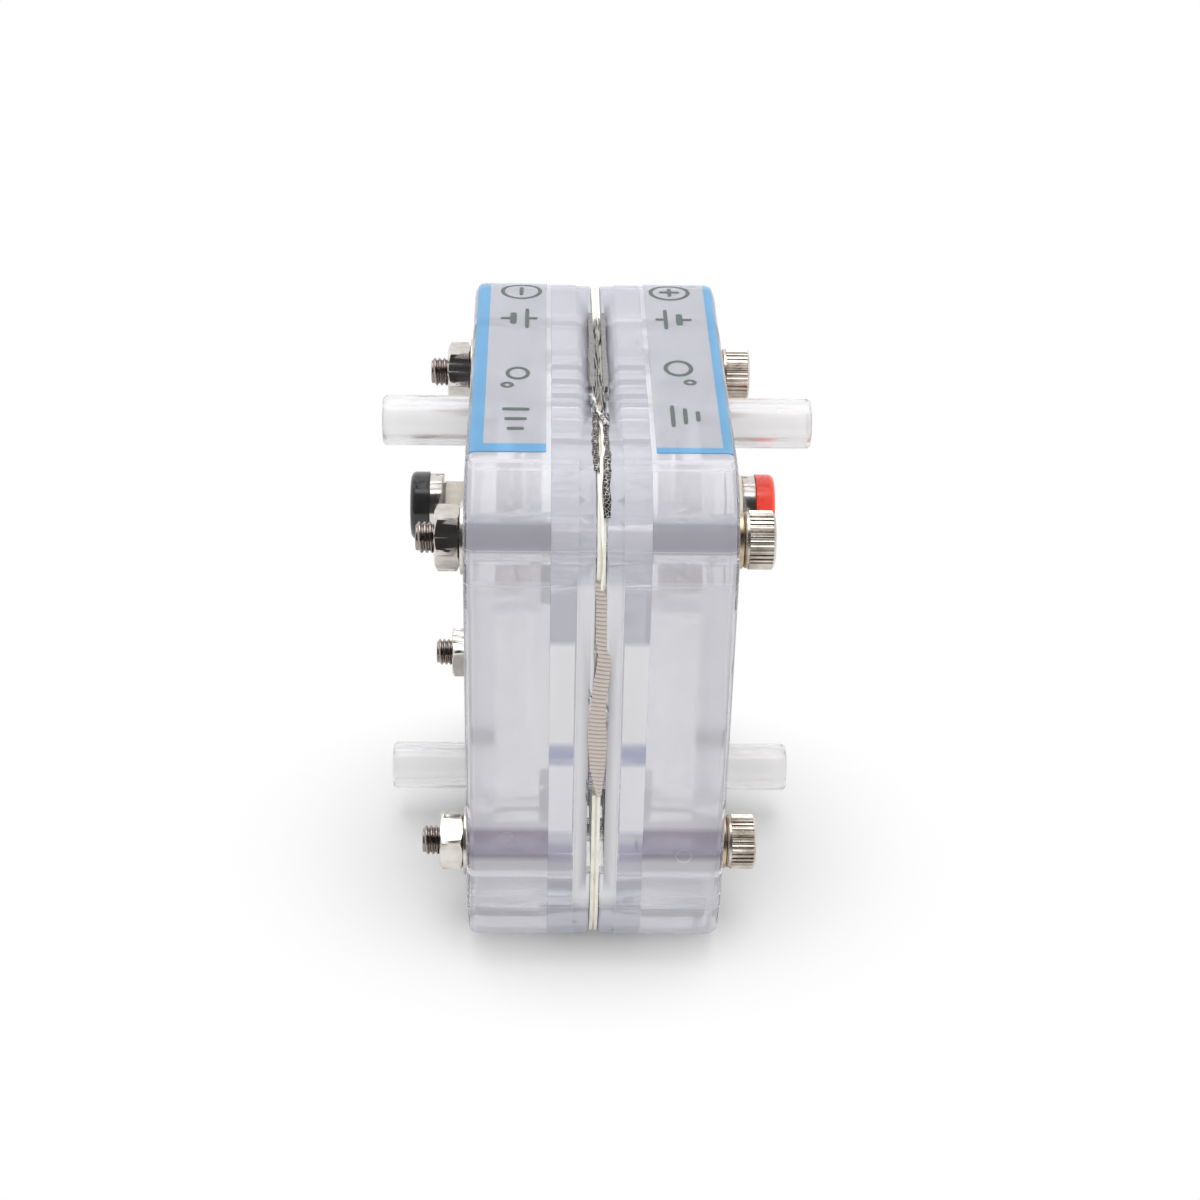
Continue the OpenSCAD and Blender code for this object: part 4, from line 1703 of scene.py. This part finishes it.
@dataclass
class Labels:
    """The two wrapped film labels."""

    lift: float = 0.02
    arc_slack: float = 0.02
    film: float = 0.1
    film_end: float = 11.8
    overlap_end: float = 12.25
    rim_from: float = 11.6
    rim_r: float = 1.0
    rim_cuts: tuple[float, ...] = (0.0, 0.25, 0.45)

    def across(self, at: Vector) -> Vector:
        """Finds the way out of the film at a point, round the far corner too.

        Args:
            at: The point in millimetres.

        Returns:
            The way.
        """
        if at.y <= CORNER_AT:
            return Vector((0, 0, 1))
        return Vector((0, at.y - CORNER_AT, at.z - MIDDLE - CORNER_AT)).normalized()

    def widen(self, piece: Piece) -> None:
        """Lets a film reach over the rounded rim of its block.

        Args:
            piece: The film.
        """
        reach = self.overlap_end - self.film_end

        def stretch(at: Vector) -> Vector:
            """Moves the film's outer edge outward."""
            return at + Vector((math.copysign(reach, at.x), 0, 0)) if abs(at.x) > self.rim_from else at

        def bend(at: Vector) -> Vector:
            """Follows the rounding of the rim."""
            over = max(0.0, abs(at.x) - self.rim_from)
            return at - self.across(at) * (self.rim_r - math.sqrt(self.rim_r ** 2 - over ** 2))

        Bench.reshape(piece, stretch)
        for place in self.rim_cuts:
            for half in Half:
                Bench.split(piece, (half.value * (self.rim_from + place), 0, 0), (1, 0, 0))
        Bench.reshape(piece, self.free)
        Bench.reshape(piece, bend)

    def free(self, at: Vector) -> Vector:
        """Lifts a point of the film's lower side off the block by an air film.

        Args:
            at: The point in millimetres.

        Returns:
            The lifted point.
        """
        height = at.z - MIDDLE
        if at.y <= CORNER_AT and abs(height - MIDDLE) < TOUCH:
            return at + Vector((0, 0, self.lift))
        arm = Vector((0, at.y - CORNER_AT, height - CORNER_AT))
        if at.y > CORNER_AT and abs(arm.length - CORNER_R) < self.arc_slack:
            return at + arm.normalized() * self.lift
        return at

    def on_film(self, at: Vector, half: Half) -> Vector:
        """Lays a flat point on the film's upper side, round the far corner too.

        Args:
            at: X as distance from the seam plane, Y, and the height above the film.
            half: The half that the film is on.

        Returns:
            The point on the film.
        """
        x = at.x * half.value
        lift = self.film + at.z
        if at.y <= CORNER_AT:
            return Vector((x, at.y, 2 * MIDDLE + lift))
        turn = (at.y - CORNER_AT) / CORNER_R
        way = Vector((0, math.sin(turn), math.cos(turn)))
        return Vector((x, CORNER_AT, MIDDLE + CORNER_AT)) + way * (CORNER_R + lift)

    def print_marks(self, half: Half) -> None:
        """Prints the marks of one half on its film.

        Args:
            half: The half that the film is on.
        """
        mark = Bench.join([mark.draw() for mark in MARKS[half]], f"printed_marks_{half.label}")
        Bench.reshape(mark, lambda at: self.on_film(at, half))
        Bench.outward(mark)
        INK.put(mark)

    def build(self) -> None:
        """Makes both labels."""
        films = {
            Half.MINUS: LabelFilm("label_film_minus", "label_film", Half.MINUS),
            Half.PLUS: LabelFilm("label_film_plus", "label_film", Half.PLUS, outer_from=11.3, near_to=-17.0),
        }
        for half, film in films.items():
            piece = Bench.cast(f"label_{half.label}", f"film_{half.label}")
            self.widen(piece)
            Bench.smooth(piece, angle=40)
            film.put(piece)
            self.print_marks(half)


@dataclass(frozen=True)
class Viewpoint:
    """The camera at the photograph's place, with its angles in degrees."""

    place: Point = (-5.53, -212.72, 156.83)
    pitch: float = 31.3526
    yaw: float = 1.677
    roll: float = 1.3079
    lens: float = 71.597

    def build(self) -> None:
        """Sets up the camera."""
        pitch, yaw, roll = (math.radians(a) for a in (self.pitch, self.yaw, self.roll))
        ahead = Vector((math.sin(yaw) * math.cos(pitch), math.cos(yaw) * math.cos(pitch), -math.sin(pitch)))
        level = Vector((math.cos(yaw), -math.sin(yaw), 0))
        upright = level.cross(ahead)
        right = math.cos(roll) * level + math.sin(roll) * upright
        up = -math.sin(roll) * level + math.cos(roll) * upright
        data = bpy.data.cameras.new("camera")
        data.lens = self.lens
        data.sensor_width = 36
        data.clip_start = 0.005
        camera = bpy.data.objects.new("camera", data)
        bpy.context.scene.collection.objects.link(camera)
        turn = Matrix((right, up, -ahead)).transposed().to_4x4()
        camera.matrix_world = Matrix.Translation(Vector(self.place) * MM) @ turn
        bpy.context.scene.camera = camera


@dataclass
class Studio:
    """White surroundings, pale floor and one soft lamp above.

    Places and sizes are in metres, apart from the floor's drop, and the lamp's power is in watts.
    """

    sky: float = 1.0
    sky_tint: Colour = (0.93, 0.935, 1.0)
    mirror_way: Point = (0, -0.85, 0.52)
    mirror_fade: tuple[float, float] = (0.3, 0.7)
    mirror_shade: float = 0.03
    lamp_place: Point = (0.0, 0.05, 0.43)
    lamp_side: float = 0.36
    lamp_power: float = 1.15
    floor_r: float = 1.6
    floor_drop: float = 0.02
    floor_colour: Colour = (0.72, 0.72, 0.72)
    shadow_reach: tuple[float, float] = (0.036, 0.026)
    shadow_at: float = -0.007
    shadow_fade: tuple[float, float] = (0.42, 1.15)
    clear_share: float = 0.85
    bounces: int = 24

    def light_sky(self) -> None:
        """Makes a white sky, dark in reflections of the camera's side and tinted through clear pieces."""
        sheet = SkySheet("white_room")
        ray = sheet.add("ShaderNodeLightPath")
        through, mirror, white = sheet.glow(colour=self.sky_tint), sheet.glow(), sheet.glow()
        sheet.link(sheet.towards(self.mirror_way, self.mirror_fade, (1.0, self.mirror_shade)),
                   mirror.inputs["Strength"])
        last = sheet.glow(self.sky)
        for flag, source in (("Is Glossy Ray", mirror), ("Is Transmission Ray", through),
                             ("Is Camera Ray", white)):
            last = sheet.blend(ray.outputs[flag], last, source)
        sheet.close(last)

    def shadow_share(self, sheet: Sheet) -> Socket:
        """Fades the floor from its own shadow near the part to plain white farther out.

        Args:
            sheet: The floor's node sheet.

        Returns:
            The share of plain white.
        """
        x, y, _ = sheet.axes()
        sides = [sheet.math("DIVIDE", side, reach)
                 for side, reach in zip((x, sheet.math("SUBTRACT", y, self.shadow_at)), self.shadow_reach)]
        far = sheet.spread(sheet.length(*sides), 0.0, 1.0, *self.shadow_fade)
        ray = sheet.add("ShaderNodeLightPath")
        seen = sheet.math("MAXIMUM", ray.outputs["Is Camera Ray"], ray.outputs["Is Glossy Ray"])
        clear = sheet.math("MULTIPLY", ray.outputs["Is Transmission Ray"], self.clear_share)
        return sheet.math("MAXIMUM", sheet.both(seen, far), clear)

    def lay_floor(self) -> None:
        """Lays the pale floor that takes the soft shadow."""
        floor = Bench.make(bpy.ops.mesh.primitive_circle_add, "floor", vertices=96, radius=self.floor_r,
                           fill_type="NGON", location=(0, 0, -self.floor_drop * MM))
        sheet = Sheet("pale_floor")
        dim = tuple(c * 0.99 for c in self.floor_colour)
        lit = sheet.shader("ShaderNodeBsdfDiffuse",
                           Color=sheet.ramp(sheet.noise(3, 2), [(0.3, dim), (0.7, self.floor_colour)]))
        glow = sheet.add("ShaderNodeEmission", {"Color": (1, 1, 1, 1), "Strength": 1.0})
        floor.data.materials.append(sheet.close(sheet.blend(self.shadow_share(sheet), lit, glow)))

    def hang_lamp(self) -> None:
        """Hangs the square soft lamp that faces the middle of the stack."""
        data = bpy.data.lights.new("top_lamp", "AREA")
        data.shape = "SQUARE"
        data.size = self.lamp_side
        data.energy = self.lamp_power
        lamp = bpy.data.objects.new("top_lamp", data)
        bpy.context.scene.collection.objects.link(lamp)
        lamp.location = self.lamp_place
        way = Vector((0, 0, MIDDLE * MM)) - lamp.location
        lamp.rotation_euler = way.to_track_quat("-Z", "Y").to_euler()

    def build(self) -> None:
        """Sets up sky, floor and lamp."""
        self.light_sky()
        self.lay_floor()
        self.hang_lamp()
        scene = bpy.context.scene
        scene.view_settings.view_transform = "Standard"
        scene.cycles.max_bounces = self.bounces
        scene.cycles.transmission_bounces = self.bounces


def main() -> None:
    """Builds the sub-assemblies in order."""
    logging.basicConfig(level=logging.INFO, format="%(message)s")
    Viewpoint().build()
    Studio().build()
    for assembly in (Housing(), ScrewSet(), HoseStubs(), Jacks(), Cell(), Labels()):
        log.info("building %s", type(assembly).__name__)
        assembly.build()


if __name__ == "__main__":
    main()
